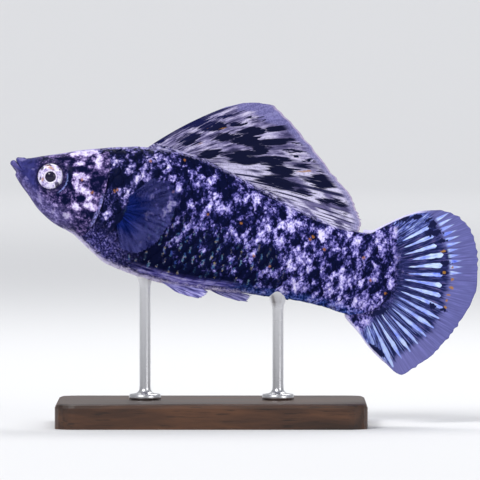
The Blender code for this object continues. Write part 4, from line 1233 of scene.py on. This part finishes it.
def make_stage():
    """A pale floor whose far edge rises all round, so that no horizon shows."""
    profile = [(0.0, 0.0), (0.4, 0.0), (1.2, 0.0)]
    profile += [(2.4 + math.sin(a), 1.0 - math.cos(a)) for a in np.linspace(0, 1.1, 18)]
    bm = spin_profile(profile, 120)
    if sum(f.normal.z for f in bm.faces) < 0:
        bmesh.ops.reverse_faces(bm, faces=bm.faces)
    mesh = as_mesh(bm, "floor")
    floor = linked("floor", mesh)
    mesh.materials.append(stage_material())
    mesh.shade_smooth()


# The lights: name, place, what each points at, its sides and its power
LIGHTS = (("key", (-0.7, -1.0, 1.1), (0, 0, 0.04), (0.55, 0.55), 15.5),
          ("fill", (1.0, -1.0, 0.5), (0, 0, 0.04), (0.7, 0.7), 4.4),
          ("rim", (0.15, 0.4, 0.6), (0, 0, 0.05), (0.6, 0.25), 2.4),
          ("backdrop", (0, 1.7, 1.5), (0, 2.7, 0.1), (3.5, 0.8), 20))
CAMERA_AIM = Vector((0.0057, 0, 0.037))
CAMERA_AWAY, CAMERA_RISE, CAMERA_LENS = 1.6, math.radians(1.5), 600.0


def make_light(name, place, aim, size, power):
    light = bpy.data.lights.new(name, "AREA")
    light.shape, light.size, light.size_y = "RECTANGLE", size[0], size[1]
    light.energy = power
    holder = linked(name, light)
    holder.location = place
    holder.rotation_euler = (Vector(aim) - Vector(place)).to_track_quat("-Z", "Y").to_euler()


def make_camera():
    """A long lens level with the photograph's, square to the fish's left side."""
    camera = bpy.data.cameras.new("camera")
    camera.lens, camera.sensor_width = CAMERA_LENS, 36.0
    camera.clip_start, camera.clip_end = 0.01, 10
    holder = linked("camera", camera)
    back_and_up = Vector((0, -math.cos(CAMERA_RISE), math.sin(CAMERA_RISE)))
    holder.location = CAMERA_AIM + back_and_up * CAMERA_AWAY
    holder.rotation_euler = (math.pi / 2 - CAMERA_RISE, 0, 0)
    bpy.context.scene.camera = holder


def make_world():
    world = bpy.data.worlds.new("studio")
    world.use_nodes = True
    background = world.node_tree.nodes["Background"]
    background.inputs["Color"].default_value = (0.80, 0.82, 0.86, 1)
    background.inputs["Strength"].default_value = 0.55
    bpy.context.scene.world = world
    bpy.context.scene.view_settings.view_transform = "Standard"


make_camera()
make_world()
make_stage()
for light in LIGHTS:
    make_light(*light)

hide = coat_material()
finish_piece("skin", skin(), hide, ("head", "torso", "tail_stalk"))
flank_map = FlankMap()
for side, word in ((-1, "left"), (1, "right")):
    coat = scale_coat(side, "scales_" + word, flank_map, random.Random(11 + side))
    finish_piece("scales_" + word, coat, hide)
make_fins()
pearl = eye_material()
for side, word in ((-1, "left"), (1, "right")):
    eye(side, word, pearl)
steel = steel_material()
rod(-13.3, 32.9, "stand_rod_front", steel)
rod(13.3, 28.4, "stand_rod_rear", steel)
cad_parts["stand_base"].material_slots[0].material = wood_material()
